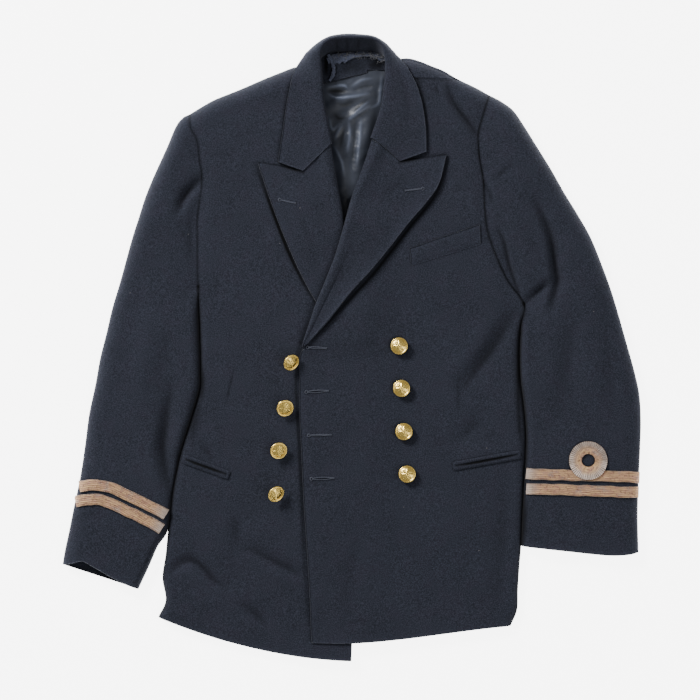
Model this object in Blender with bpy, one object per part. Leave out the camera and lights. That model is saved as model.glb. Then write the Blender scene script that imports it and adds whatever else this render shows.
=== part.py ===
"""A double-breasted officer's reefer jacket in dark wool, laid flat on its back.

Sizes are in millimetres and become metres where a mesh is made. X runs across the jacket, Y towards
the collar and Z up. Right and left are the wearer's, so the wearer's left is at +X. The left front
laps over the right one, and each cloth piece is a closed wall on the form that its tables give."""

import math
from collections import namedtuple

import bpy
import numpy as np

MM = 0.001
CENTRE = (1.0, 0.0, 0.0)  # the middle of the jacket's footprint in the tables, which becomes the origin

# Cloth
WALL = 2.4                # wool with its canvas or lining
SATIN = 1.0               # the back's lining
LACE = 1.1                # gold lace on the cuffs
PATCH = 1.3               # breast welt and pocket jets
SEAM = 0.2                # half of the gap between two pieces that are sewn together
SIDE_GAP = 0.5            # half of the gap between a sleeve and the side it lies against
LIE = 0.5                 # air between a piece and the cloth that it lies on
LACE_LIE = 0.8            # more under the lace and the jets, which cross the cloth's bends

# Form of the laid-out jacket
CURL = 5.0                # how high the back's margin turns up at the outline
FOOT = 5.3                # where the fronts and top sleeves come down to meet that margin
OUTLINE_ROUND = 20.0      # how far in the cloth rounds off at the outline
SIDE_ROUND = 11.0         # the same where a sleeve and a side lie together
UNDERARM_FADE = 45.0      # length of side over which that rounding begins, below the underarm
ARMHOLE_DIP = 1.4         # depth of the dip along the armhole seam
ARMHOLE_WIDTH = 8.0
SLEEVE_RISE = 4.0         # a filled sleeve stands this much higher than the fronts
SLEEVE_RISE_WIDTH = 40.0
LAP_RISE = 3.3            # the left front rises over the right front
LAPEL_LAP_RISE = 3.9      # and again over the right lapel
LAP_EDGE = 6.0            # the under front ends here, so the left front starts to settle
LAP_SETTLE = 60.0
COLLAR_SUPPORT_Y = 335.0  # beyond this the collar no longer follows the shoulder's rounding

# Meshes
CURVE_RUNS = 12           # short runs in each span of a smooth curve
ON_LINE = 0.06            # a place this near to a margin's line counts as on it
ON_OUTLINE = 2.5          # a point of the back's top line this near to the outline is moved onto it
BUTTON_SIDES = 12

# Height of the fronts' outer face above the floor, by place along the jacket
Height = namedtuple("Height", "y front")
HEIGHTS = (
    Height(400, 21.5), Height(330, 21.5), Height(270, 20.0), Height(200, 17.0), Height(100, 14.5),
    Height(0, 13.0), Height(-100, 12.2), Height(-200, 11.4), Height(-300, 10.8), Height(-400, 10.2),
)

# Sections of the body from the shoulder down: right side, right front's inner edge, left front's
# inner edge and left side. The first ten end at the armholes, the next nine lie beside the sleeves.
# Above the break the fronts' inner edges lie 5 mm inside the roll, where the lapels turn round them.
Section = namedtuple("Section", "side_r_x side_r_y edge_r_x edge_r_y edge_l_x edge_l_y side_l_x side_l_y")
BODY = (
    Section(-202, 292, -57, 352, 63, 337, 173, 316),
    Section(-200, 274, -56, 330, 61, 322, 166, 294),
    Section(-192, 258, -53, 312, 56, 304, 159, 267),
    Section(-189, 234, -47, 292, 47, 282, 160, 239),
    Section(-186, 212, -38, 268, 36, 258, 165, 209),
    Section(-189, 184, -28, 240, 22, 229, 167, 174),
    Section(-192, 159, -22, 206, 8, 193, 171, 144),
    Section(-192, 131, -15, 166, -4, 154, 182, 113),
    Section(-192, 103, -10, 128, -14, 118, 196, 83),
    Section(-191, 76, -7, 91, -27, 84, 216, 54),
    Section(-191, 49, -6, 56, -40, 52, 213, 28),
    Section(-190, 22, -6, 22, -51, 19, 211, -3),
    Section(-189, -6, -1, -9, -64, -13, 212, -38),
    Section(-189, -31, 0, -41, -64, -46, 216, -72),
    Section(-190, -53, 0, -76, -64, -81, 219, -109),
    Section(-201, -91, 0, -116, -62, -121, 218, -141),
    Section(-214, -134, 0, -159, -60, -166, 216, -178),
    Section(-224, -187, 1, -209, -58, -206, 214, -216),
    Section(-229, -228, 1, -253, -55, -248, 213, -248),
    Section(-232, -259, 1, -288, -53, -281, 211, -272),
    Section(-236, -288, 1, -323, -51, -316, 209, -303),
    Section(-232, -316, 1, -358, -50, -343, 208, -328),
    Section(-241, -337, 0, -392, -49, -369, 200, -348),
)
ARMHOLE_ROWS = 10
BESIDE_ROWS = 19

# How far the hem of a front hangs below its straight section, by row from the hem up
RIGHT_HEM_DROP = (11.6, 8.0, 5.0, 2.0)
LEFT_HEM_DROP = (5.6, 3.5, 1.8, 0.6)
BACK_HEM = ((-236, -333), (-150, -350), (-60, -363), (0, -367), (100, -360), (196, -344))

# Upper lines of the body: the outline over each shoulder, the left shoulder's seam and the back's neck
SHOULDER_R = (
    (-202, 292), (-184, 303), (-169, 311), (-139, 323), (-109, 336), (-84, 346), (-70, 351), (-57, 352),
)
SHOULDER_L = (
    (56, 361), (71, 362), (86, 358), (101, 352), (116, 346), (131, 337), (146, 330), (160, 323), (173, 316),
)
SEAM_L = (
    (63, 337), (75, 336), (90, 336), (104, 336), (119, 335.6), (131, 335), (140, 332.6), (153, 326),
    (173, 316),
)

# The back's top line by column of its grid. Some of these columns go on over the left shoulder as a
# flap, which ends at the seam: the rows of the flap are at these shares of the way.
TopPoint = namedtuple("TopPoint", "column x y")
BACK_TOP = (
    TopPoint(0, -202, 292), TopPoint(4, -197, 295.3), TopPoint(5, -165, 312.5), TopPoint(6, -124, 330),
    TopPoint(7, -84, 346), TopPoint(8, -57, 352), TopPoint(9, -37, 361.3), TopPoint(10, -27, 367.6),
    TopPoint(11, -5, 368.8), TopPoint(12, 23, 369.2), TopPoint(13, 41, 363.2), TopPoint(14, 64, 361.8),
    TopPoint(15, 88, 357.5), TopPoint(16, 112, 347.8), TopPoint(17, 135, 335.2), TopPoint(18, 150, 328),
    TopPoint(21, 173, 316),
)
FLAP_COLUMNS = slice(14, 18)
FLAP_SHARES = (0.1, 0.35, 0.65, 1.0)
FLAP_PRESS = 5.0          # the flap is pressed down where it goes under the collar
FLAP_PRESS_WIDTH = 16.0

# Sleeves from the shoulder to the cuff. The inner edge is the armhole, the side and then the cuff's own.
CUFF_R_INNER = ((-242, -249), (-252, -272), (-266, -302))
SLEEVE_R_OUTER = (
    (-209, 289), (-216, 282), (-222, 271), (-229, 254), (-238, 234), (-248, 212), (-258, 187), (-266, 162),
    (-274, 137), (-282, 108), (-290, 79), (-299, 49), (-306, 19), (-314, -13), (-320, -46), (-328, -84),
    (-333, -122), (-339, -162), (-347, -200), (-353, -230), (-358, -253), (-361, -271),
)
SLEEVE_L_OUTER = (
    (187, 309), (203, 297), (217, 277), (232, 253), (250, 224), (267, 194), (283, 168), (300, 138),
    (314, 104), (326, 71), (336, 38), (345, 6), (354, -26), (361, -58), (363, -91), (362, -128),
    (360, -172), (359, -213), (360, -256),
)

# The cuffs' edges from the outer to the inner line. The right cuff's upper layer is pushed up.
CUFF_R_TOP = (
    (-361, -271), (-350, -270), (-336, -267), (-320, -275), (-301, -286), (-283, -295), (-266, -302),
)
CUFF_L_EDGE = ((360, -256), (345, -259), (319, -259.5), (270, -254.5), (213, -248))

# Folds: soft troughs (depth below 0) and ridges along a line
Fold = namedtuple("Fold", "piece width depth line")
FOLDS = (
    Fold("front_right", 14, -2.0, ((-227, -282), (-199, -266), (-157, -299))),
    Fold("front_right", 12, -1.8, ((-132, -248), (-62, -284))),
    Fold("front_right", 12, -1.5, ((-137, -318), (-104, -349))),
    Fold("front_right", 18, -1.2, ((-146, -209), (-139, -316))),
    Fold("front_right", 12, -1.5, ((-187, -123), (-158, -166))),
    Fold("front_left", 14, -2.5, ((205, 47), (174, 3), (139, -47))),
    Fold("front_left", 16, -1.5, ((161, -91), (117, -134))),
    Fold("front_left", 11, -2.5, ((119, 328), (130, 303), (149, 278), (158, 264))),
    Fold("sleeve_left", 8, -2.0, ((182, 149), (197, 106), (212, 63))),
    Fold("sleeve_left", 14, -5.0, ((230, 183), (251, 133), (258, 83), (250, 47))),
    Fold("sleeve_left", 11, -4.0, ((216, 54), (236, 72), (250, 83))),
    Fold("sleeve_left", 18, -1.5, ((268, 59), (274, -3), (261, -91))),
    Fold("sleeve_right", 9, -2.5, ((-186, 212), (-201, 197), (-210, 184), (-216, 169))),
    Fold("sleeve_right", 13, -4.5, ((-225, -48), (-236, -129), (-225, -186))),
    Fold("sleeve_right", 18, -1.2, ((-264, -103), (-276, -153))),
)
LINING_FOLDS = (
    Fold("lining_back", 7, 4.0, ((-30, 300), (-5, 312), (25, 318))),
    Fold("lining_back", 6, 3.5, ((-5, 285), (24, 308))),
    Fold("lining_back", 7, 3.0, ((-22, 262), (-10, 225), (-6, 170))),
    Fold("lining_back", 8, 3.0, ((28, 300), (14, 250), (4, 190))),
)

# Lapels from the break up to the gorge: outer edge and roll, then the peak, notch and gorge
Turn = namedtuple("Turn", "outer_x outer_y roll_x roll_y rise")
LAPEL_R = (
    Turn(-26, 32, -1, 28, 0.2), Turn(-44, 58, -1, 59, 0.2), Turn(-62, 91, -2, 94, 0.2),
    Turn(-76, 122, -5, 126, 0.2), Turn(-90, 156, -8, 154, 0.4), Turn(-102, 189, -13, 184, 1.6),
    Turn(-110, 213, -19, 216, 2.5), Turn(-116, 232, -25, 253, 2.5),
)
LAPEL_R_TOP = ((-116, 231), (-88, 227), (-60, 220), (-42, 237.5), (-25.5, 253.5))
LAPEL_L = (
    Turn(-54, 5, -61.5, 1, 0.2), Turn(-43, 18, -59, 10, 0.6), Turn(-29, 34, -55, 22, 1.0),
    Turn(0, 70, -45, 52, 1.6), Turn(24, 96, -32, 84, 2.0),
    Turn(48, 125, -19, 118, 2.4), Turn(72, 156, -9, 153, 2.6), Turn(96, 184, 1, 189, 2.8),
    Turn(110, 206, 13, 220, 2.8), Turn(119, 241, 26, 259, 2.8),
)
LAPEL_L_TOP = ((119, 241), (91, 237.5), (61, 232), (44, 247), (26.5, 260.5))
LAPEL_TOP_COLUMNS = (0, 2, 4, 6)         # columns of the points of a lapel's top line, but for the last
LAPEL_TOP_FADE = (1.0, 0.45, 0.15)
LAPEL_SPREAD = (1.0, 0.88, 0.76, 0.64, 0.52, 0.4, 0.28)
LAPEL_LIFT = {"lapel_right": 0.8, "lapel_left": 2.6}   # how far the outer edge stands off the front
LAPEL_FULL_WIDTH = 50.0    # a narrower lapel has a smaller roll
NOTCH = 0.35               # half of the slit between collar and lapel

# Section of a lapel at its roll: distance in from the roll, height over the front, share of the rise
RollPoint = namedtuple("RollPoint", "inward height share")
LAPEL_ROLL = (
    RollPoint(12.0, 2.9, 0.6), RollPoint(6.0, 2.9, 1.0), RollPoint(2.2, 2.3, 0.8),
    RollPoint(0.3, 0.9, 0.4), RollPoint(0.3, -1.0, 0.0), RollPoint(2.6, -2.4, 0.0),
)

# Collar stations from the right gorge round the neck to the left one. The roll is the inner edge seen
# from above. The other place is the fall's edge or, behind the neck, the outline. The stand's foot lies
# this far out from the roll, and round is 0 where the fall lies on a front, 0.5 where it goes over the
# shoulder and 1 where it hangs behind the neck.
Station = namedtuple("Station", "roll_x roll_y edge_x edge_y foot round")
COLLAR = (
    Station(-26, 254, -91, 231, 2.6, 0.0), Station(-29, 278, -85, 268, 8, 0.0),
    Station(-33, 306, -80, 302, 15, 0.0), Station(-35, 334, -74, 333, 17, 0.0),
    Station(-35.5, 342, -71, 344, 15, 0.08), Station(-36, 350, -67, 353, 11, 0.25),
    Station(-37, 362, -57, 368, 0, 0.5),
    Station(-34, 374, -43, 381, -9, 0.75), Station(-25, 381, -27, 389, -12.5, 1.0),
    Station(-8, 383, -8, 392, -13.5, 1.0), Station(11, 383, 11, 391.5, -13.5, 1.0),
    Station(27, 382, 29, 389, -12.5, 1.0), Station(37, 375, 44, 381, -9, 0.75),
    Station(41, 364, 54, 370, 0, 0.5), Station(42, 353, 62, 361, 11, 0.25),
    Station(42, 345, 69, 351.5, 15, 0.08),
    Station(42, 337, 74, 342, 17, 0.0), Station(40, 318, 82, 326, 16, 0.0),
    Station(37, 300, 89, 302, 13, 0.0), Station(32, 280, 93, 273, 8, 0.0),
    Station(27, 262, 94, 244, 2.6, 0.0),
)
COLLAR_R_END = ((-91, 231), (-60, 220), (-42, 237.5), (-25.5, 253.5))
COLLAR_L_END = ((94, 244), (61, 232), (44, 247), (26.5, 260.5))
COLLAR_END_COLUMNS = (10, 8, 6, 4)
COLLAR_END_FADE = (1.0, 0.4)

# Collar section from the stand's foot over the roll to the fall's edge, in three forms: lying on a
# front, going over the shoulder and hanging behind the neck. Each share is of the width from the roll
# to the outer place, out is in millimetres from there, and z is above the front or above the floor.
CollarPoint = namedtuple(
    "CollarPoint", "foot side_share side_out side_z over_share over_out over_z back_share back_out back_z")
COLLAR_SECTION = (
    CollarPoint(1.00, 0.00, 0.0, -2.4, 0.00, 0.0, 9.0, 0.00, 0.0, 3.0),
    CollarPoint(0.50, 0.00, 0.0, -2.5, 0.00, -0.3, 16.0, 0.00, 0.0, 14.0),
    CollarPoint(0.04, 0.00, 0.9, -1.4, 0.00, 0.0, 22.5, 0.00, 0.0, 24.5),
    CollarPoint(0.00, 0.00, 0.0, 1.8, 0.05, 0.0, 26.4, 0.25, 0.0, 28.6),
    CollarPoint(0.00, 0.00, 2.6, 4.9, 0.24, 0.0, 27.4, 0.60, 0.0, 28.4),
    CollarPoint(0.00, 0.00, 8.0, 5.4, 0.52, 0.0, 26.0, 0.90, 0.0, 22.5),
    CollarPoint(0.00, 0.36, 0.0, 4.6, 0.78, 0.0, 22.5, 1.00, 0.0, 14.0),
    CollarPoint(0.00, 0.52, 0.0, 4.0, 0.92, 0.0, 18.0, 1.00, -0.3, 6.5),
    CollarPoint(0.00, 0.68, 0.0, 3.5, 0.98, 0.0, 14.5, 1.00, -2.0, 1.6),
    CollarPoint(0.00, 0.84, 0.0, 3.3, 1.00, 0.0, 11.0, 1.00, -6.5, 0.0),
    CollarPoint(0.00, 1.00, 0.0, 3.2, 1.00, -0.5, 7.0, 1.00, -16.0, 0.0),
)

# Cuff lace: the middle line of each stripe, from the sleeve's outer to its inner edge
Stripe = namedtuple("Stripe", "name side line")
LACE_WIDTH = 13.6
STRIPES = (
    Stripe("lace_right_upper", "right", (
        (-339, -174), (-326, -172), (-312, -172), (-300, -175), (-276, -186), (-251, -198), (-229, -210))),
    Stripe("lace_right_lower", "right", (
        (-344, -193), (-329, -190), (-316, -190), (-304, -193), (-276, -206), (-251, -218), (-234, -228))),
    Stripe("lace_left_upper", "left", (
        (360, -162), (336, -161), (299, -160), (261, -159), (236, -158.5), (217, -157))),
    Stripe("lace_left_lower", "left", (
        (359, -181), (336, -180.5), (299, -179), (261, -177.5), (236, -177), (217, -176))),
)
CURL_CENTRE = (296, -141)
CURL_OUTER = 23.9
CURL_INNER = 8.4
CURL_SIDES = 26

# Pockets
WELT = ((73, 124), (161, 154), (162, 129), (75, 102))       # top left, top right, bottom right, bottom left
Jet = namedtuple("Jet", "name front start_x start_y end_x end_y")
JETS = (
    Jet("pocket_left", "front_left", 130, -148, 209, -134),
    Jet("pocket_right", "front_right", -208, -143, -155, -162),
)
JET_WIDTH = 4.6
JET_SLIT = 0.7

# Buttons: the middle of each face as seen from above, how far it leans and towards where, in degrees
Button = namedtuple("Button", "name front x y lean towards shank")
BUTTONS = (
    Button("button_left_1", "front_left", 60, 2, 0, 0, 3.2),
    Button("button_left_2", "front_left", 63, -51, 0, 0, 3.2),
    Button("button_left_3", "front_left", 66, -105, 0, 0, 3.2),
    Button("button_left_4", "front_left", 70, -158, 0, 0, 3.2),
    Button("button_right_1", "front_right", -74, -19, 40, -38, 9.5),
    Button("button_right_2", "front_right", -82, -76, 24, -52, 6.5),
    Button("button_right_3", "front_right", -90, -129, 22, -50, 6.2),
    Button("button_right_4", "front_right", -93, -183, 38, -42, 9.0),
)
# Turned section of a button above its shank: radius and height
CAP = ((9.6, 0.0), (11.7, 0.9), (11.7, 2.0), (10.6, 2.7), (7.8, 4.0), (4.2, 5.0), (0.0, 5.4))
SHANK_RADIUS = 2.3

Finish = namedtuple("Finish", "colour roughness metallic")
FINISHES = {
    "wool": Finish((0.030, 0.033, 0.045, 1), 0.92, 0.0),
    "satin": Finish((0.020, 0.021, 0.026, 1), 0.35, 0.0),
    "gold_lace": Finish((0.42, 0.29, 0.17, 1), 0.60, 0.4),
    "gilt": Finish((0.78, 0.55, 0.18, 1), 0.30, 1.0),
}


# ---------------------------------------------------------------- lines and distances


def spline(points, places):
    """Points on a smooth curve through the given ones, at fractional places in their list."""
    known = np.array(points, float)
    padded = np.vstack([2 * known[0] - known[1], known, 2 * known[-1] - known[-2]])
    found = []
    for place in places:
        k = min(int(place), len(known) - 2)
        t = place - k
        a, b, c, d = padded[k:k + 4]
        found.append(b + 0.5 * t * (c - a + t * (2 * a - 5 * b + 4 * c - d + t * (3 * b - a - 3 * c + d))))
    return np.array(found)


def along(points, shares):
    """Points at shares of the length of a line of straight runs."""
    known = np.array(points, float)
    runs = np.r_[0, np.cumsum(np.linalg.norm(np.diff(known, axis=0), axis=1))]
    wanted = np.array(shares) * runs[-1]
    return np.stack([np.interp(wanted, runs, known[:, k]) for k in range(known.shape[1])], axis=-1)


def smooth(points):
    """A smooth curve through the points as many short runs."""
    return spline(points, np.arange(0, (len(points) - 1) * CURVE_RUNS + 1) / CURVE_RUNS)


def distance(x, y, line):
    """How far each place is from a line, and how far along it the nearest point lies, 0 to 1."""
    line = np.array(line, float)
    best = np.full(np.shape(x), np.inf)
    share = np.zeros(np.shape(x))
    for k, (a, b) in enumerate(zip(line[:-1], line[1:])):
        run = b - a
        t = np.clip(((x - a[0]) * run[0] + (y - a[1]) * run[1]) / (run @ run), 0, 1)
        away = np.hypot(x - a[0] - t * run[0], y - a[1] - t * run[1])
        share = np.where(away < best, (k + t) / (len(line) - 1), share)
        best = np.minimum(best, away)
    return best, share


def ease(t):
    t = np.clip(t, 0, 1)
    return t * t * (3 - 2 * t)


# ---------------------------------------------------------------- the form of the laid-out jacket

def side_lines(side):
    """The armhole and the side of the body below it, as smooth curves for 'r' or 'l'."""
    line = smooth([(getattr(row, f"side_{side}_x"), getattr(row, f"side_{side}_y")) for row in BODY])
    underarm = (ARMHOLE_ROWS - 1) * CURVE_RUNS
    return line[:underarm + 1], line[underarm:]


def sleeve_inner(side):
    """A sleeve's inner line by row: the armhole, the line beside the body and the cuff's own."""
    line = [(getattr(row, f"side_{side}_x"), getattr(row, f"side_{side}_y")) for row in BODY[:BESIDE_ROWS]]
    return np.array(line + list(CUFF_R_INNER if side == "r" else ()), float)


SLEEVE_OUTERS = {"right": SLEEVE_R_OUTER, "left": SLEEVE_L_OUTER}
SLEEVE_INNERS = {"right": sleeve_inner("r"), "left": sleeve_inner("l")}
OUTLINES = {
    "right": np.vstack([smooth(SHOULDER_R)[::-1], smooth(SLEEVE_R_OUTER)]),
    "left": np.vstack([smooth(SHOULDER_L), smooth(SLEEVE_L_OUTER)]),
}
ARMHOLES = {"right": side_lines("r")[0], "left": side_lines("l")[0]}
SIDES = {"right": side_lines("r")[1], "left": side_lines("l")[1]}
BESIDES = {side: smooth(line)[(ARMHOLE_ROWS - 1) * CURVE_RUNS:] for side, line in SLEEVE_INNERS.items()}


def folded(x, y, piece, folds=FOLDS):
    """The height that a piece's folds add."""
    total = np.zeros(np.shape(x))
    for fold in folds:
        if fold.piece == piece:
            away, share = distance(x, y, fold.line)
            total += fold.depth * np.exp(-(away / fold.width) ** 2) * np.sin(math.pi * (0.1 + 0.8 * share))
    return total


def rounded(height, foot, away, radius):
    """Height over a margin that rounds down to its foot as a quarter of an ellipse."""
    t = np.clip((away - ON_LINE) / radius, 0, 1)
    return foot + (height - foot) * np.sqrt(np.maximum(1 - (1 - t) ** 2, 0))


def lap(x, y):
    """How much the left front is raised by the right front and its lapel under it."""
    over_front = ease((195 - y) / 45)
    over_lapel = ease((190 - y) / 40) * ease((y + 20) / 35)
    settle = 1 - ease((x - LAP_EDGE) / LAP_SETTLE)
    return settle * (LAP_RISE * over_front + LAPEL_LAP_RISE * over_lapel)


def margins(x, y, height, side, inner):
    """Rounds a height down to the outline and, below the underarm, to the line beside the sleeve."""
    height = rounded(height, FOOT, distance(x, y, OUTLINES[side])[0], OUTLINE_ROUND)
    beside = rounded(height, FOOT, distance(x, y, inner)[0], SIDE_ROUND)
    below = ease((inner[0][1] - y) / UNDERARM_FADE)
    return height + (beside - height) * below


def level(x, y, side):
    """The fronts' height before any margin, with the dip along the armhole."""
    height = np.interp(-y, [-row.y for row in HEIGHTS], [row.front for row in HEIGHTS])
    away = distance(x, y, ARMHOLES[side])[0]
    return height - ARMHOLE_DIP * np.exp(-(away / ARMHOLE_WIDTH) ** 2)


def front_height(x, y, side):
    """Height of the outer face of the right or left front."""
    height = level(x, y, side) + folded(x, y, f"front_{side}")
    if side == "left":
        height = height + lap(x, y)
    return margins(x, y, height, side, SIDES[side])


def sleeve_height(x, y, side):
    """Height of the outer face of a top sleeve."""
    away = distance(x, y, ARMHOLES[side])[0]
    height = level(x, y, side) + SLEEVE_RISE * ease(away / SLEEVE_RISE_WIDTH)
    height = height + folded(x, y, f"sleeve_{side}")
    return margins(x, y, height, side, BESIDES[side])


def curl(away):
    t = np.clip(1 - (away - ON_LINE) / CURL, 0, 1)
    return CURL * (1 - np.sqrt(np.maximum(1 - t ** 2, 0)))


def floor_height(x, y, side, inner):
    """Height of the under face of the back and the under sleeves: flat, with its margins turned up."""
    turned = curl(distance(x, y, OUTLINES[side])[0])
    beside = curl(distance(x, y, inner)[0]) * ease((inner[0][1] - y) / UNDERARM_FADE)
    return np.maximum(turned, beside)


# ---------------------------------------------------------------- grids and walls

QUARTER = 1 - np.cos(np.radians([0, 22.5, 45, 67.5, 90]))


def spread(width, first, last, inner):
    """Distances across a section, close together over its rounded margins, which may be 0 wide."""
    first = min(first, 0.4 * width)
    last = min(last, 0.4 * width)
    start = first * QUARTER if first else np.zeros(1)
    stop = width - last * QUARTER[::-1] if last else np.array([width])
    middle = np.linspace(start[-1], stop[0], inner + 2)[1:-1]
    return np.r_[start, middle, stop]


def cross(starts, stops, first, last, inner):
    """Rows of places between two edges, with margins of the given widths."""
    rows = []
    for a, b in zip(starts, stops):
        width = np.linalg.norm(b - a)
        rows.append(a + np.outer(spread(width, first, last, inner) / width, b - a))
    return np.array(rows)


def drawn_in(edge, other, gap):
    """An edge moved towards the other one, which leaves the gap at a seam."""
    towards = other - edge
    return edge + gap * towards / np.linalg.norm(towards, axis=1)[:, None]


def follow(grid, line, fades, columns=None):
    """Bends the first rows so that the first one lies along a line, and the next ones follow it less.
    The line's points belong to the given columns, or else its length is shared out as the row's is."""
    if columns is None:
        runs = np.r_[0, np.cumsum(np.linalg.norm(np.diff(grid[0], axis=0), axis=1))]
        wanted = along(line, runs / runs[-1])
    else:
        wanted = at_columns(line, columns, range(grid.shape[1]))
    change = wanted - grid[0]
    for row, fade in enumerate(fades):
        grid[row] += fade * change
    return grid


def at_columns(line, columns, wanted):
    known = np.array(line, float)
    return np.stack([np.interp(wanted, columns, known[:, k]) for k in (0, 1)], axis=-1)


def with_height(places, height):
    return np.dstack([places[..., 0], places[..., 1], height])


def normals(grid, loop=False):
    """Unit normals of a grid of points. A loop's last column meets its first."""
    down = np.gradient(grid, axis=0)
    if loop:
        across = (np.roll(grid, -1, axis=1) - np.roll(grid, 1, axis=1)) / 2
    else:
        across = np.gradient(grid, axis=1)
    found = np.cross(down, across)
    return found / np.linalg.norm(found, axis=-1, keepdims=True)


def up(found):
    """Normals turned so that they point up on the whole."""
    return found if found[..., 2].sum() > 0 else -found


def mesh_object(name, points, faces, finish):
    """A named object from points in millimetres, its faces turned outwards."""
    mesh = bpy.data.meshes.new(name)
    mesh.from_pydata(((np.array(points) - CENTRE) * MM).tolist(), [], faces)
    mesh.validate()
    shape = bpy.data.objects.new(name, mesh)
    bpy.context.collection.objects.link(shape)
    volume = sum(signed_volume(mesh, face) for face in mesh.polygons)
    if volume < 0:
        mesh.flip_normals()
    mesh.materials.append(material(finish))
    mesh.shade_smooth()
    mesh.set_sharp_from_angle(angle=math.radians(40))
    return shape


def signed_volume(mesh, face):
    a, *rest = [mesh.vertices[k].co for k in face.vertices]
    return sum(a.dot(b.cross(c)) for b, c in zip(rest[:-1], rest[1:]))


def grid_quads(numbers, loop=False):
    """Faces of a grid of point numbers. A loop's last column meets its first."""
    if loop:
        numbers = np.hstack([numbers, numbers[:, :1]])
    corners = (numbers[:-1, :-1], numbers[:-1, 1:], numbers[1:, 1:], numbers[1:, :-1])
    return np.stack([corner.ravel() for corner in corners], axis=-1).tolist()


def closed(name, outer, inner, quads, finish):
    """A closed wall between two lists of points that share their faces, with a rim at every free edge."""
    count = len(outer)
    faces = [tuple(quad) for quad in quads]
    faces += [tuple(k + count for k in reversed(quad)) for quad in quads]
    edges = {(quad[k - 1], quad[k]) for quad in quads for k in range(4)}
    faces += [(b, a, a + count, b + count) for a, b in sorted(edges) if (b, a) not in edges]
    return mesh_object(name, np.vstack([outer, inner]), faces, finish)


def wall(name, outer, inner, finish, loop=False):
    """A closed wall between two grids of points."""
    numbers = np.arange(outer[..., 0].size).reshape(outer.shape[:2])
    return closed(name, outer.reshape(-1, 3), inner.reshape(-1, 3), grid_quads(numbers, loop), finish)


def hung_wall(name, outer, thickness, finish, floor=None):
    """A wall whose inner face lies below the outer one, never lower than the floor given."""
    inner = outer - thickness * up(normals(outer))
    if floor is not None:
        inner[..., 2] = np.maximum(inner[..., 2], np.minimum(outer[..., 2], floor))
    return wall(name, outer, inner, finish)


def laid_piece(name, base, gap, thickness, finish, loop=False):
    """A piece that lies on cloth: the cloth's own points moved out by a gap and by its thickness."""
    out = up(normals(base, loop))
    return wall(name, base + (gap + thickness) * out, base + gap * out, finish, loop)


# ---------------------------------------------------------------- the cloth pieces

TOP_PLACES = np.r_[0, 0.08, 0.3, 0.62, 1:len(BODY)]
UNDER_PLACES = np.r_[0, 0.02, 0.08, 0.25, 1:len(BODY)]


def side_gaps(places):
    """Half of the gap at each row: a seam along the armhole, more beside the sleeve."""
    return np.where(places < ARMHOLE_ROWS, SEAM, SIDE_GAP)[:, None]


def body_line(kind, side, places):
    points = [(getattr(row, f"{kind}_{side}_x"), getattr(row, f"{kind}_{side}_y")) for row in BODY]
    return spline(points, places)


def front(side):
    """A front from the shoulder to the hem, rounded down at its side below the underarm."""
    edge = body_line("edge", side[0], TOP_PLACES)
    outer_edge = drawn_in(body_line("side", side[0], TOP_PLACES), edge, side_gaps(TOP_PLACES))
    places = cross(outer_edge, edge, SIDE_ROUND, 0, 9)
    drops = LEFT_HEM_DROP if side == "left" else RIGHT_HEM_DROP
    for row, drop in enumerate(drops, 1):
        share = np.linalg.norm(places[-row] - places[-row, 0], axis=1)
        share /= share[-1]
        bow = 6.75 * share ** 2 * (1 - share) if side == "left" else 4 * share * (1 - share)
        places[-row, :, 1] -= drop * bow
    top = np.array(SEAM_L, float)[::-1] - (0, 2 * SEAM) if side == "left" else smooth(SHOULDER_R)
    top[0] = places[0, 0]
    follow(places, top, (1, 0.92, 0.7, 0.4))
    grid = with_height(places, front_height(places[..., 0], places[..., 1], side))
    return hung_wall(f"front_{side}", grid, WALL, "wool", FOOT)


BACK_TOP_FADE = (1, 0.99, 0.97, 0.92, 0.72, 0.5, 0.3, 0.15, 0.05)


def back():
    """The back: flat on the floor, its margins turned up, and carried over the left shoulder."""
    right = body_line("side", "r", UNDER_PLACES)
    left = body_line("side", "l", UNDER_PLACES)
    gap = side_gaps(UNDER_PLACES)
    places = cross(drawn_in(right, left, gap), drawn_in(left, right, gap), CURL, CURL, 12)
    top = [on_outline(point.x, point.y) for point in BACK_TOP]
    top[0], top[-1] = places[0, 0], places[0, -1]
    follow(places, top, BACK_TOP_FADE, [point.column for point in BACK_TOP])
    follow(places[::-1], BACK_HEM, (1, 0.6, 0.25))
    x, y = places[..., 0], places[..., 1]
    right_height = floor_height(x, y, "right", SIDES["right"])
    left_height = floor_height(x, y, "left", SIDES["left"])
    grid = with_height(places, np.where(x < 0, right_height, left_height))
    inner = raised(grid)

    rows = len(FLAP_SHARES)
    flap = shoulder_flap(grid[0, FLAP_COLUMNS])[::-1]
    out = -up(normals(np.concatenate([flap, grid[:3, FLAP_COLUMNS]])))[:rows]
    out[..., 2] = np.abs(out[..., 2])
    flap_inner = flap - WALL * out
    flap_inner[..., 2] = np.maximum(flap_inner[..., 2], CURL)

    numbers = np.arange(grid[..., 0].size).reshape(grid.shape[:2])
    flap_numbers = numbers.size + np.arange(flap[..., 0].size).reshape(rows, -1)
    faces = grid_quads(numbers) + grid_quads(np.vstack([flap_numbers, numbers[:1, FLAP_COLUMNS]]))
    outer = np.vstack([grid.reshape(-1, 3), flap.reshape(-1, 3)])
    inside = np.vstack([inner.reshape(-1, 3), flap_inner.reshape(-1, 3)])
    return closed("back", outer, inside, faces, "wool")


def on_outline(x, y):
    """A place moved onto the nearest point of the outline, unless it is too far from it."""
    line = OUTLINES["left" if x > 0 else "right"]
    nearest = line[np.argmin(np.hypot(line[:, 0] - x, line[:, 1] - y))]
    return tuple(nearest) if math.hypot(nearest[0] - x, nearest[1] - y) < ON_OUTLINE else (x, y)


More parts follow.
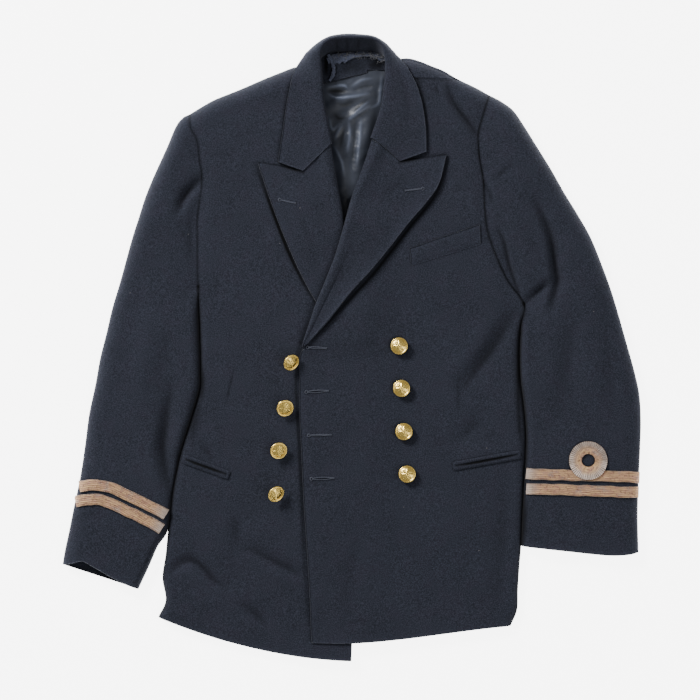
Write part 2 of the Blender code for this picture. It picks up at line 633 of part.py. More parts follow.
def shoulder_flap(edge):
    """Rows from a run of the back's top edge up over the left shoulder to its seam."""
    seam_x, seam_y = np.array(SEAM_L, float).T
    seam = np.stack([edge[:, 0], np.interp(edge[:, 0], seam_x, seam_y)], axis=-1)
    places = np.array([edge[:, :2] + share * (seam - edge[:, :2]) for share in FLAP_SHARES])
    x, y = places[..., 0], places[..., 1]
    pressed = FLAP_PRESS * (1 - ease((x - edge[0, 0]) / FLAP_PRESS_WIDTH))
    return with_height(places, np.maximum(front_height(x, y, "left") - pressed, FOOT + 0.3))


def raised(grid):
    """The upper face of a piece on the floor, which ends level at the turned-up margins."""
    inner = grid + WALL * up(normals(grid))
    inner[..., 2] = np.clip(inner[..., 2], grid[..., 2], CURL)
    return inner


def sleeve_places(side, rows, outer_margin, inner_margin, columns):
    """The grid of places of a sleeve piece from its outer to its inner line."""
    rows = rows[rows <= len(SLEEVE_OUTERS[side]) - 1]
    outer = spline(SLEEVE_OUTERS[side], rows)
    inner = drawn_in(spline(SLEEVE_INNERS[side], rows), outer, side_gaps(rows))
    return cross(outer, inner, outer_margin, inner_margin, columns)


def top_sleeve(side):
    """The sleeve's upper piece, arched from the outline to the armhole and the side."""
    places = sleeve_places(side, TOP_PLACES, OUTLINE_ROUND, SIDE_ROUND, 7)
    follow(places[::-1], CUFF_R_TOP if side == "right" else CUFF_L_EDGE, (1, 0.45, 0.1))
    grid = with_height(places, sleeve_height(places[..., 0], places[..., 1], side))
    return hung_wall(f"sleeve_{side}_top", grid, WALL, "wool", FOOT)


def under_sleeve(side):
    """The sleeve's under piece: flat on the floor, its margins turned up."""
    places = sleeve_places(side, UNDER_PLACES, CURL, CURL, 2)
    if side == "left":
        follow(places[::-1], CUFF_L_EDGE, (1,))
    grid = with_height(places, floor_height(places[..., 0], places[..., 1], side, BESIDES[side]))
    return wall(f"sleeve_{side}_under", grid, raised(grid), "wool")


def lining():
    """The back's satin lining, which shows in the neck."""
    places = np.array([[(x, y) for x in np.linspace(-58, 60, 11)] for y in np.linspace(345, 95, 16)], float)
    narrow = 1 - 0.1 * ease((240 - places[..., 1]) / 120)
    places[..., 0] *= narrow
    x, y = places[..., 0], places[..., 1]
    height = WALL + LIE + SATIN + np.maximum(folded(x, y, "lining_back", LINING_FOLDS), 0)
    return hung_wall("lining_back", with_height(places, height), SATIN, "satin")


def lapel(name, table, top, side):
    """A lapel turned out on its front: from the outer edge to the roll, and round the roll's lip."""
    turns = table[::-1]
    shares = np.array(LAPEL_SPREAD)
    flat = len(shares)
    rows = []
    for turn in turns:
        outer = np.array([turn.outer_x, turn.outer_y], float)
        roll = np.array([turn.roll_x, turn.roll_y], float)
        width = np.linalg.norm(outer - roll)
        small = min(1.0, width / LAPEL_FULL_WIDTH)
        reach = np.r_[width * shares, [point.inward * small for point in LAPEL_ROLL]]
        rows.append(roll + np.outer(reach, (outer - roll) / width))
    places = np.array(rows)

    roll_column = places.shape[1] - 3
    lip = places[0, roll_column + 1:] - places[0, roll_column]
    top_line = np.array(top, float) - (0, NOTCH)
    follow(places, top_line, LAPEL_TOP_FADE, (*LAPEL_TOP_COLUMNS, roll_column))
    places[0, roll_column + 1:] = places[0, roll_column] + lip

    height = np.zeros(places.shape[:2])
    for row, turn in enumerate(turns):
        free = min(1.0, (row + 1) / 3) * min(1.0, (len(turns) - 1 - row) / 2)
        height[row, :flat] = WALL + LIE + LAPEL_LIFT[name] * free * shares ** 4
        height[row, flat:] = [point.height + point.share * turn.rise for point in LAPEL_ROLL]
    grid = with_height(places, front_height(places[..., 0], places[..., 1], side) + height)
    inner = grid - WALL * turned(grid, flat - 1)
    return wall(name, grid, inner, "wool")


def turned(grid, column):
    """Normals whose sign is set where a column of the grid faces up."""
    found = normals(grid)
    return found if found[:, column, 2].mean() > 0 else -found


def collar():
    """The collar: stand, roll and fall in one wall round the neck."""
    rows = []
    for station in COLLAR:
        roll = np.array([station.roll_x, station.roll_y], float)
        edge = np.array([station.edge_x, station.edge_y], float)
        width = np.linalg.norm(edge - roll)
        outward = (edge - roll) / width
        side = "left" if station.roll_x > 0 else "right"
        row = []
        for point in COLLAR_SECTION:
            foot = point.foot * station.foot
            out = np.interp(station.round, (0, 0.5, 1), (
                point.side_share * width + point.side_out,
                point.over_share * width + point.over_out,
                point.back_share * width + point.back_out))
            place = roll + outward * (foot + out)
            support = float(front_height(place[0], min(place[1], COLLAR_SUPPORT_Y), side))
            heights = (support + point.side_z, point.over_z, point.back_z)
            row.append((*place, np.interp(station.round, (0, 0.5, 1), heights)))
        rows.append(row)
    grid = np.array(rows)
    places = grid[..., :2]
    for end, line in ((places, COLLAR_R_END), (places[::-1], COLLAR_L_END)):
        leg = end[0, :4] - end[0, 4]
        follow_columns(end, np.array(line, float) + (0, NOTCH), COLLAR_END_FADE, COLLAR_END_COLUMNS)
        end[0, :4] = leg + end[0, 4]
    inner = grid - WALL * turned(grid, 8)
    inner[..., 2] = np.maximum(inner[..., 2], 0.0)
    return wall("collar", grid, inner, "wool")


def follow_columns(grid, line, fades, columns):
    """Moves the columns from the roll to the fall's edge so that an end row lies along a line."""
    order = np.argsort(columns)
    known = np.array(line, float)[order]
    numbers = np.array(columns)[order]
    span = np.arange(numbers[0], numbers[-1] + 1)
    wanted = np.stack([np.interp(span, numbers, known[:, k]) for k in (0, 1)], axis=-1)
    change = wanted - grid[0, span]
    for row, fade in enumerate(fades):
        grid[row, span] += fade * change


# ---------------------------------------------------------------- lace, pockets and buttons

def lace(stripe):
    """A stripe of lace over the top sleeve, from its outer edge to its inner one."""
    line = np.array(stripe.line, float)
    length = np.linalg.norm(np.diff(line, axis=0), axis=1).sum()
    shares = spread(length, OUTLINE_ROUND, SIDE_ROUND, 6) / length
    shares = (0.6 + shares * (length - 3.6)) / length
    middle = along(line, shares)
    across = np.gradient(middle, axis=0)
    across = across[:, ::-1] * (-1, 1)
    across /= np.linalg.norm(across, axis=1)[:, None]
    places = np.array([middle + across * LACE_WIDTH * share for share in (-0.5, 0, 0.5)])
    grid = with_height(places, sleeve_height(places[..., 0], places[..., 1], stripe.side))
    return laid_piece(stripe.name, grid, LACE_LIE, LACE, "gold_lace")


def executive_curl():
    """The round loop of lace that stands on the left cuff's upper stripe."""
    angles = np.linspace(0, 2 * math.pi, CURL_SIDES, endpoint=False)
    ring = np.stack([np.cos(angles), np.sin(angles)], axis=-1)
    radii = (CURL_OUTER, (CURL_OUTER + CURL_INNER) / 2, CURL_INNER)
    places = np.array([np.array(CURL_CENTRE) + radius * ring for radius in radii])
    x, y = places[..., 0], places[..., 1]
    stripe_top = -160 + LACE_WIDTH / 2
    over = ease((stripe_top + 8 - y) / 7)
    height = sleeve_height(x, y, "left") + (LACE + LIE) * over
    return laid_piece("curl_left", with_height(places, height), LACE_LIE, LACE, "gold_lace", loop=True)


def welt():
    """The breast pocket's welt."""
    top_left, top_right, low_right, low_left = np.array(WELT, float)
    shares = np.linspace(0, 1, 7)[:, None]
    top = top_left + shares * (top_right - top_left)
    low = low_left + shares * (low_right - low_left)
    places = np.array([top + share * (low - top) for share in (0, 0.5, 1)])
    grid = with_height(places, front_height(places[..., 0], places[..., 1], "left"))
    return laid_piece("breast_welt", grid, LIE, PATCH, "wool")


def jets(jet):
    """The two jets of a hip pocket as one frame round its slit."""
    start = np.array([jet.start_x, jet.start_y], float)
    stop = np.array([jet.end_x, jet.end_y], float)
    run = (stop - start) / np.linalg.norm(stop - start)
    side = np.array([-run[1], run[0]])
    shares = np.linspace(0, 1, 8)
    middle = np.array([start + share * (stop - start) for share in np.r_[shares, shares[::-1]]])
    way = np.r_[np.ones(8), -np.ones(8)][:, None]
    reach = np.r_[-1, np.zeros(6), 1, 1, np.zeros(6), -1][:, None]
    slit = middle + way * side * JET_SLIT
    rim = middle + way * side * JET_WIDTH + reach * run * 2.0
    places = np.array([rim, slit])
    front_side = jet.front.split("_")[1]
    grid = with_height(places, front_height(places[..., 0], places[..., 1], front_side))
    return laid_piece(jet.name, grid, LACE_LIE, PATCH, "wool", loop=True)


def button(spec):
    """A domed button on its shank, turned as one solid and leant over where its thread is loose."""
    profile = [(0.0, 0.0), (SHANK_RADIUS, 0.0), (SHANK_RADIUS, spec.shank)]
    profile += [(radius, spec.shank + height) for radius, height in CAP]
    lean = math.radians(spec.lean)
    towards = math.radians(spec.towards)
    ahead = np.array([math.cos(towards), math.sin(towards), 0.0])
    side = np.array([-math.sin(towards), math.cos(towards), 0.0])
    axis = math.sin(lean) * ahead + np.array([0.0, 0.0, math.cos(lean)])
    other = np.cross(axis, side)
    base = np.array([spec.x, spec.y]) - axis[:2] * (spec.shank + 2.5)
    angles = [2 * math.pi * k / BUTTON_SIDES for k in range(BUTTON_SIDES)]
    ring = np.array([(math.cos(a), math.sin(a)) for a in angles]) * SHANK_RADIUS + base
    ground = front_height(ring[:, 0], ring[:, 1], spec.front.split("_")[1]).max()
    foot = np.array([*base, ground + LIE + SHANK_RADIUS * math.sin(lean)])
    spokes = [side * math.cos(a) + other * math.sin(a) for a in angles]
    points = [foot]
    faces = []
    for radius, height in profile[1:-1]:
        points += [foot + axis * height + radius * spoke for spoke in spokes]
    points.append(foot + axis * profile[-1][1])
    rings = len(profile) - 2
    for k in range(BUTTON_SIDES):
        n = (k + 1) % BUTTON_SIDES
        faces.append((0, 1 + n, 1 + k))
        for ring in range(rings - 1):
            low = 1 + ring * BUTTON_SIDES
            faces.append((low + k, low + n, low + BUTTON_SIDES + n, low + BUTTON_SIDES + k))
        high = 1 + (rings - 1) * BUTTON_SIDES
        faces.append((high + k, high + n, len(points) - 1))
    return mesh_object(spec.name, points, faces, "gilt")


def material(finish):
    """One Principled material for each finish."""
    found = bpy.data.materials.get(finish)
    if found:
        return found
    spec = FINISHES[finish]
    made = bpy.data.materials.new(finish)
    made.use_nodes = True
    shader = made.node_tree.nodes["Principled BSDF"]
    shader.inputs["Base Color"].default_value = spec.colour
    shader.inputs["Roughness"].default_value = spec.roughness
    shader.inputs["Metallic"].default_value = spec.metallic
    return made


def main():
    for old in list(bpy.data.objects):
        bpy.data.objects.remove(old)
    back()
    lining()
    for side in ("right", "left"):
        front(side)
        top_sleeve(side)
        under_sleeve(side)
    lapel("lapel_right", LAPEL_R, LAPEL_R_TOP, "right")
    lapel("lapel_left", LAPEL_L, LAPEL_L_TOP, "left")
    collar()
    for stripe in STRIPES:
        lace(stripe)
    executive_curl()
    welt()
    for jet in JETS:
        jets(jet)
    for spec in BUTTONS:
        button(spec)


main()
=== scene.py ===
"""The looks of a naval officer's double-breasted reefer jacket, laid flat on its back.

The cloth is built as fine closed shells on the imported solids' own form, with its creases, seams, lace,
buttons and stitching. Tables are in millimetres, X across, Y towards the collar and Z up, and right and
left are the wearer's. Shell.piece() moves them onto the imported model's origin and into metres."""

import math
from collections import namedtuple
from functools import lru_cache

import bpy
import numpy as np
from bpy.props import FloatProperty, FloatVectorProperty, PointerProperty
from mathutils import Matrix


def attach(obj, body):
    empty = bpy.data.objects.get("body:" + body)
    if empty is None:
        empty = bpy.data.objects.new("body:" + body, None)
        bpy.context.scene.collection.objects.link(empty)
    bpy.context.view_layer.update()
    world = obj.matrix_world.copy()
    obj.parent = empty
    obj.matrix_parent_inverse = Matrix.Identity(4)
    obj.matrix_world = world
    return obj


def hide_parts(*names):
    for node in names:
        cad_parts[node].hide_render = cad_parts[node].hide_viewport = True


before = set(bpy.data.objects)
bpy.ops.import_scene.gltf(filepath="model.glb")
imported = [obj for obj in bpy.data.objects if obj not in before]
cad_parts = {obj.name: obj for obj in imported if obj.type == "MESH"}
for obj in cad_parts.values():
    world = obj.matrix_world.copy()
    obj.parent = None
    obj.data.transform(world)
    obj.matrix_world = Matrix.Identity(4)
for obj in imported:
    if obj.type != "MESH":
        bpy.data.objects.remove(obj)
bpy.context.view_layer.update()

bl_info = {
    "name": "Reefer jacket",
    "version": (1, 0, 0),
    "blender": (4, 5, 0),
    "location": "3D View > Sidebar > Jacket",
    "description": "Builds the cloth, lace, buttons and stitching of a laid-out reefer jacket",
    "category": "Add Mesh",
}


def table(kind, rows):
    """Rows whose columns have the names of a kind of tuple."""
    return tuple(kind(*row) for row in rows)


def tables(kind, pieces):
    """A table of one kind for each piece."""
    return {piece: table(kind, rows) for piece, rows in pieces.items()}


MM = 0.001
CENTRE = (1.0, 0.0, 0.0)  # the middle of the jacket's footprint in the tables, which becomes the origin

# Cloth
WALL = 2.4  # wool with its canvas or lining
SATIN = 1.0  # the back's lining
LACE = 1.1  # gold lace on the cuffs
PATCH = 1.3  # breast welt and pocket jets
SEAM = 0.0  # half of the gap between two pieces that are sewn together: none
SIDE_GAP = -0.05  # half of the gap between a sleeve and the side: they press together
LIE = 0.5  # air between a piece and the cloth that it lies on
LACE_LIE = 0.8  # more under the lace and the jets, which cross the cloth's bends

# Form of the laid-out jacket
CURL = 5.0  # how high the back's margin turns up at the outline
FOOT = 5.3  # where the fronts and top sleeves come down to meet that margin
OUTLINE_ROUND = 20.0  # how far in the cloth rounds off at the outline
SIDE_ROUND = 11.0  # the same where a sleeve and a side lie together
UNDERARM_FADE = 45.0  # length of side over which that rounding begins, below the underarm
ARMHOLE_DIP = 1.4  # depth of the dip along the armhole seam
ARMHOLE_WIDTH = 8.0
SLEEVE_RISE = 4.0  # a filled sleeve stands this much higher than the fronts
SLEEVE_RISE_WIDTH = 40.0
LAP_RISE = 3.3  # the left front rises over the right front
LAPEL_LAP_RISE = 3.9  # and again over the right lapel
LAP_EDGE = 6.0  # the under front ends here, so the left front starts to settle
LAP_SETTLE = 60.0
LAP_TOP = 195.0  # below here the left front lies on the right front, after a short slope
LAP_SLOPE = 45.0
LAPEL_LAP_TOP = 190.0  # and between these two on the right lapel as well
LAPEL_LAP_SLOPE = 40.0
LAPEL_LAP_FOOT = -20.0
LAPEL_LAP_FOOT_SLOPE = 35.0
COLLAR_SUPPORT_Y = 335.0  # beyond this the collar no longer follows the shoulder's rounding

# Meshes
CURVE_RUNS = 12  # short runs in each span of a smooth curve
ON_LINE = 0.06  # a place this near to a margin's line counts as on it
ON_OUTLINE = 2.5  # a point of the back's top line this near to the outline is moved onto it

# Height of the fronts' outer face above the floor, by place along the jacket
Height = namedtuple("Height", "y front")
HEIGHTS = table(Height, (
    (400, 21.5), (330, 21.5), (270, 20.0), (200, 17.0), (100, 14.5),
    (0, 13.0), (-100, 12.2), (-200, 11.4), (-300, 10.8), (-400, 10.2),
))

# Sections of the body from the shoulder down: right side, right front's inner edge, left front's
# inner edge and left side. The first ten end at the armholes, the next nine lie beside the sleeves.
# Above the break the fronts' inner edges lie 5 mm inside the roll, where the lapels turn round them.
Section = namedtuple("Section", "side_r_x side_r_y edge_r_x edge_r_y edge_l_x edge_l_y side_l_x side_l_y")
BODY = table(Section, (
    (-202, 292, -57, 352, 63, 337, 173, 316),
    (-200, 274, -56, 330, 61, 322, 166, 294),
    (-192, 258, -53, 312, 56, 304, 159, 267),
    (-189, 234, -47, 292, 47, 282, 160, 239),
    (-186, 212, -38, 268, 36, 258, 165, 209),
    (-189, 184, -28, 240, 22, 229, 167, 174),
    (-192, 159, -22, 206, 8, 193, 171, 144),
    (-192, 131, -15, 166, -4, 154, 182, 113),
    (-192, 103, -10, 128, -14, 118, 196, 83),
    (-191, 76, -7, 91, -27, 84, 216, 54),
    (-191, 49, -6, 56, -40, 52, 213, 28),
    (-190, 22, -6, 22, -51, 19, 211, -3),
    (-189, -6, -1, -9, -64, -13, 212, -38),
    (-189, -31, 0, -41, -64, -46, 216, -72),
    (-190, -53, 0, -76, -64, -81, 219, -109),
    (-201, -91, 0, -116, -62, -121, 218, -141),
    (-214, -134, 0, -159, -60, -166, 216, -178),
    (-224, -187, 1, -209, -58, -206, 214, -216),
    (-229, -228, 1, -253, -55, -248, 213, -248),
    (-232, -259, 1, -288, -53, -281, 211, -272),
    (-236, -288, 1, -323, -51, -316, 209, -303),
    (-232, -316, 1, -358, -50, -343, 208, -328),
    (-241, -337, 0, -392, -49, -369, 200, -348),
))
ARMHOLE_ROWS = 10
BESIDE_ROWS = 19

# How far the hem of a front hangs below its straight section, by row from the hem up
RIGHT_HEM_DROP = (11.6, 8.0, 5.0, 2.0)
LEFT_HEM_DROP = (5.6, 3.5, 1.8, 0.6)
BACK_HEM = ((-236, -333), (-150, -350), (-60, -363), (0, -367), (100, -360), (196, -344))

# Upper lines of the body: the outline over each shoulder, the left shoulder's seam and the back's neck
SHOULDER_R = (
    (-202, 292), (-184, 303), (-169, 311), (-139, 323), (-109, 336), (-84, 346), (-70, 351), (-57, 352),
)
SHOULDER_L = (
    (56, 361), (71, 362), (86, 358), (101, 352), (116, 346), (131, 337), (146, 330), (160, 323), (173, 316),
)
SEAM_L = (
    (63, 337), (75, 336), (90, 336), (104, 336), (119, 335.6), (131, 335), (140, 332.6), (153, 326),
    (173, 316),
)

# The back's top line by column of its coarse grid. Some of these columns go on over the left shoulder
# as a flap, which ends at the seam.
TopPoint = namedtuple("TopPoint", "column x y")
BACK_TOP = table(TopPoint, (
    (0, -202, 292), (4, -197, 295.3), (5, -165, 312.5), (6, -124, 330),
    (7, -84, 346), (8, -57, 352), (9, -37, 361.3), (10, -27, 367.6),
    (11, -5, 368.8), (12, 23, 369.2), (13, 41, 363.2), (14, 64, 361.8),
    (15, 88, 357.5), (16, 112, 347.8), (17, 135, 335.2), (18, 150, 328),
    (21, 173, 316),
))
FLAP_COLUMNS = slice(14, 21)
FLAP_PRESS = 5.0  # the flap is pressed down where it goes under the collar
FLAP_PRESS_WIDTH = 16.0

# Sleeves from the shoulder to the cuff. The inner edge is the armhole, the side and then the cuff's own.
CUFF_R_INNER = ((-242, -249), (-252, -272), (-266, -302))
SLEEVE_R_OUTER = (
    (-209, 289), (-216, 282), (-222, 271), (-229, 254), (-238, 234), (-248, 212), (-258, 187), (-266, 162),
    (-274, 137), (-282, 108), (-290, 79), (-299, 49), (-306, 19), (-314, -13), (-320, -46), (-328, -84),
    (-333, -122), (-339, -162), (-347, -200), (-353, -230), (-358, -253), (-361, -271),
)
SLEEVE_L_OUTER = (
    (187, 309), (203, 297), (217, 277), (232, 253), (250, 224), (267, 194), (283, 168), (300, 138),
    (314, 104), (326, 71), (336, 38), (345, 6), (354, -26), (361, -58), (363, -91), (362, -128),
    (360, -172), (359, -213), (360, -256),
)

# The cuffs' edges from the outer to the inner line. The right cuff's upper layer is pushed up.
CUFF_R_TOP = (
    (-361, -271), (-350, -270), (-336, -267), (-320, -275), (-301, -286), (-283, -295), (-266, -302),
)
CUFF_L_EDGE = ((360, -256), (345, -259), (319, -259.5), (270, -254.5), (213, -248))

# Folds by piece: soft troughs (depth below 0) and ridges along a line
Fold = namedtuple("Fold", "width depth line")
FOLDS = tables(Fold, {
    "front_right": (
        (14, -2.0, ((-227, -282), (-199, -266), (-157, -299))),
        (12, -1.8, ((-132, -248), (-62, -284))),
        (12, -1.5, ((-137, -318), (-104, -349))),
        (18, -1.2, ((-146, -209), (-139, -316))),
        (12, -1.5, ((-187, -123), (-158, -166))),
    ),
    "front_left": (
        (14, -2.5, ((205, 47), (174, 3), (139, -47))),
        (16, -1.5, ((161, -91), (117, -134))),
        (11, -2.5, ((119, 328), (130, 303), (149, 278), (158, 264))),
    ),
    "sleeve_left": (
        (8, -2.0, ((182, 149), (197, 106), (212, 63))),
        (14, -5.0, ((230, 183), (251, 133), (258, 83), (250, 47))),
        (11, -4.0, ((216, 54), (236, 72), (250, 83))),
        (18, -1.5, ((268, 59), (274, -3), (261, -91))),
    ),
    "sleeve_right": (
        (9, -2.5, ((-186, 212), (-201, 197), (-210, 184), (-216, 169))),
        (13, -4.5, ((-225, -48), (-236, -129), (-225, -186))),
        (18, -1.2, ((-264, -103), (-276, -153))),
    ),
    "lining_back": (
        (7, 4.0, ((-30, 300), (-5, 312), (25, 318))),
        (6, 3.5, ((-5, 285), (24, 308))),
        (7, 3.0, ((-22, 262), (-10, 225), (-6, 170))),
        (8, 3.0, ((28, 300), (14, 250), (4, 190))),
    ),
})

# Lapels from the break up to the gorge: outer edge and roll, then the peak, notch and gorge
Turn = namedtuple("Turn", "outer_x outer_y roll_x roll_y rise")
LAPEL_R = table(Turn, (
    (-26, 32, -1, 28, 0.2), (-44, 58, -1, 59, 0.2), (-62, 91, -2, 94, 0.2),
    (-76, 122, -5, 126, 0.2), (-90, 156, -8, 154, 0.4), (-102, 189, -13, 184, 1.6),
    (-110, 213, -19, 216, 2.5), (-116, 232, -25, 253, 2.5),
))
LAPEL_R_TOP = ((-116, 231), (-88, 227), (-60, 220), (-42, 237.5), (-25.5, 253.5))
LAPEL_L = table(Turn, (
    (-54, 5, -61.5, 1, 0.2), (-43, 18, -59, 10, 0.6), (-29, 34, -55, 22, 1.0),
    (0, 70, -45, 52, 1.6), (24, 96, -32, 84, 2.0),
    (48, 125, -19, 118, 2.4), (72, 156, -9, 153, 2.6), (96, 184, 1, 189, 2.8),
    (110, 206, 13, 220, 2.8), (119, 241, 26, 259, 2.8),
))
LAPEL_L_TOP = ((119, 241), (91, 237.5), (61, 232), (44, 247), (26.5, 260.5))
LAPEL_TOP_COLUMNS = (0, 2, 4, 6)  # columns of the points of a lapel's top line, but for the last
LAPEL_TOP_FADE = (1.0, 0.45, 0.15)
LAPEL_SPREAD = (1.0, 0.88, 0.76, 0.64, 0.52, 0.4, 0.28)
LAPEL_LIFT = {"lapel_right": 0.8, "lapel_left": 2.6}  # how far the outer edge stands off the front
LAPEL_FULL_WIDTH = 50.0  # a narrower lapel has a smaller roll
NOTCH = 0.35  # half of the slit between collar and lapel

# Section of a lapel at its roll: distance in from the roll, height over the front, share of the rise
RollPoint = namedtuple("RollPoint", "inward height share")
LAPEL_ROLL = table(RollPoint, (
    (12.0, 2.9, 0.6), (6.0, 2.9, 1.0), (2.2, 2.3, 0.8),
    (0.3, 0.9, 0.4), (0.3, -1.0, 0.0), (2.6, -2.4, 0.0),
))

# Collar stations from the right gorge round the neck to the left one. The roll is the inner edge seen
# from above. The other place is the fall's edge or, behind the neck, the outline. The stand's foot lies
# this far out from the roll, and round is 0 where the fall lies on a front, 0.5 where it goes over the
# shoulder and 1 where it hangs behind the neck.
Station = namedtuple("Station", "roll_x roll_y edge_x edge_y foot round")
COLLAR = table(Station, (
    (-26, 254, -91, 231, 2.6, 0.0), (-29, 278, -85, 268, 8, 0.0),
    (-33, 306, -80, 302, 15, 0.0), (-35, 334, -74, 333, 17, 0.0),
    (-35.5, 342, -71, 344, 15, 0.08), (-36, 350, -67, 353, 11, 0.25),
    (-37, 362, -57, 368, 0, 0.5),
    (-34, 374, -43, 381, -9, 0.75), (-25, 381, -27, 389, -12.5, 1.0),
    (-8, 383, -8, 392, -13.5, 1.0), (11, 383, 11, 391.5, -13.5, 1.0),
    (27, 382, 29, 389, -12.5, 1.0), (37, 375, 44, 381, -9, 0.75),
    (41, 364, 54, 370, 0, 0.5), (42, 353, 62, 361, 11, 0.25),
    (42, 345, 69, 351.5, 15, 0.08),
    (42, 337, 74, 342, 17, 0.0), (40, 318, 82, 326, 16, 0.0),
    (37, 300, 89, 302, 13, 0.0), (32, 280, 93, 273, 8, 0.0),
    (27, 262, 94, 244, 2.6, 0.0),
))
# The collar's ends: the fall's corner, then along the lapel's gorge
COLLAR_R_END = ((-91, 231), *LAPEL_R_TOP[2:])
COLLAR_L_END = ((94, 244), *LAPEL_L_TOP[2:])
COLLAR_END_COLUMNS = (10, 8, 6, 4)
COLLAR_END_FADE = (1.0, 0.4)
COLLAR_FACE = 8  # a point of the section where the fall faces up

# Collar section from the stand's foot over the roll to the fall's edge, in three forms: lying on a
# front, going over the shoulder and hanging behind the neck. Each share is of the width from the roll
# to the outer place, out is in millimetres from there, and z is above the front or above the floor.
CollarPoint = namedtuple(
    "CollarPoint", "foot side_share side_out side_z over_share over_out over_z back_share back_out back_z")
COLLAR_SECTION = table(CollarPoint, (
    (1.00, 0.00, 0.0, -2.4, 0.00, 0.0, 9.0, 0.00, 0.0, 3.0),
    (0.50, 0.00, 0.0, -2.5, 0.00, -0.3, 16.0, 0.00, 0.0, 14.0),
    (0.04, 0.00, 0.9, -1.4, 0.00, 0.0, 22.5, 0.00, 0.0, 24.5),
    (0.00, 0.00, 0.0, 1.8, 0.05, 0.0, 26.4, 0.25, 0.0, 28.6),
    (0.00, 0.00, 2.6, 4.9, 0.24, 0.0, 27.4, 0.60, 0.0, 28.4),
    (0.00, 0.00, 8.0, 5.4, 0.52, 0.0, 26.0, 0.90, 0.0, 22.5),
    (0.00, 0.36, 0.0, 4.6, 0.78, 0.0, 22.5, 1.00, 0.0, 14.0),
    (0.00, 0.52, 0.0, 4.0, 0.92, 0.0, 18.0, 1.00, -0.3, 6.5),
    (0.00, 0.68, 0.0, 3.5, 0.98, 0.0, 14.5, 1.00, -2.0, 1.6),
    (0.00, 0.84, 0.0, 3.3, 1.00, 0.0, 11.0, 1.00, -6.5, 0.0),
    (0.00, 1.00, 0.0, 3.2, 1.00, -0.5, 7.0, 1.00, -16.0, 0.0),
))

# Cuff lace: the middle line of each stripe, from the sleeve's outer to its inner edge
Stripe = namedtuple("Stripe", "name side line")
LACE_WIDTH = 13.6
STRIPES = table(Stripe, (
    ("lace_right_upper", "right", (
        (-339, -174), (-326, -172), (-312, -172), (-300, -175), (-276, -186), (-251, -198), (-229, -210))),
    ("lace_right_lower", "right", (
        (-344, -193), (-329, -190), (-316, -190), (-304, -193), (-276, -206), (-251, -218), (-234, -228))),
    ("lace_left_upper", "left", (
        (360, -162), (336, -161), (299, -160), (261, -159), (236, -158.5), (217, -157))),
    ("lace_left_lower", "left", (
        (359, -181), (336, -180.5), (299, -179), (261, -177.5), (236, -177), (217, -176))),
))
CURL_CENTRE = (296, -141)
CURL_OUTER = 23.9
CURL_INNER = 8.4

# Pockets
WELT = ((73, 124), (161, 154), (162, 129), (75, 102))  # top left, top right, bottom right, bottom left
Jet = namedtuple("Jet", "name side start_x start_y end_x end_y")
JETS = table(Jet, (
    ("pocket_left", "left", 130, -148, 209, -134),
    ("pocket_right", "right", -208, -139.5, -155, -159),
))
JET_WIDTH = 4.6  # from the middle of the slit to the outer edge of a jet
JET_SLIT = 1.5  # half of the slit's width

# Buttons: the middle of each face as seen from above, how far it leans and towards where, in degrees
Button = namedtuple("Button", "name side x y lean towards shank")
BUTTONS = table(Button, (
    ("button_left_1", "left", 60, 2, 0, 0, 3.2),
    ("button_left_2", "left", 63, -51, 0, 0, 3.2),
    ("button_left_3", "left", 66, -105, 0, 0, 3.2),
    ("button_left_4", "left", 70, -158, 0, 0, 3.2),
    ("button_right_1", "right", -74, -19, 40, -38, 9.5),
    ("button_right_2", "right", -82, -76, 24, -52, 6.5),
    ("button_right_3", "right", -90, -129, 22, -50, 6.2),
    ("button_right_4", "right", -93, -183, 38, -42, 9.0),
))
SHANK_RADIUS = 2.3

# Fine shells
ROW_PARTS = 12  # rows of a shell in each span of its table
LAPEL_PARTS = 12
COLLAR_PARTS = 12
SECTION_PARTS = 7  # columns in each step of a lapel's or the collar's section
QUARTER_STEPS = 10  # columns over a rounded margin
RIM_STEPS = (0.12, 0.32, 0.5, 0.68, 0.88)  # places of the rim's rows between the outer and inner face
RIM_SWELL = 0.55  # how far a free edge swells out, in millimetres
PALE_EDGE_REACH = 6.0  # how far in from a free edge the cloth is paler, partly worn and partly a painted highlight
LONG_LINE = 60  # of a line with more points than this, every third one is enough for the paler edge
LONG_LINE_STEP = 3
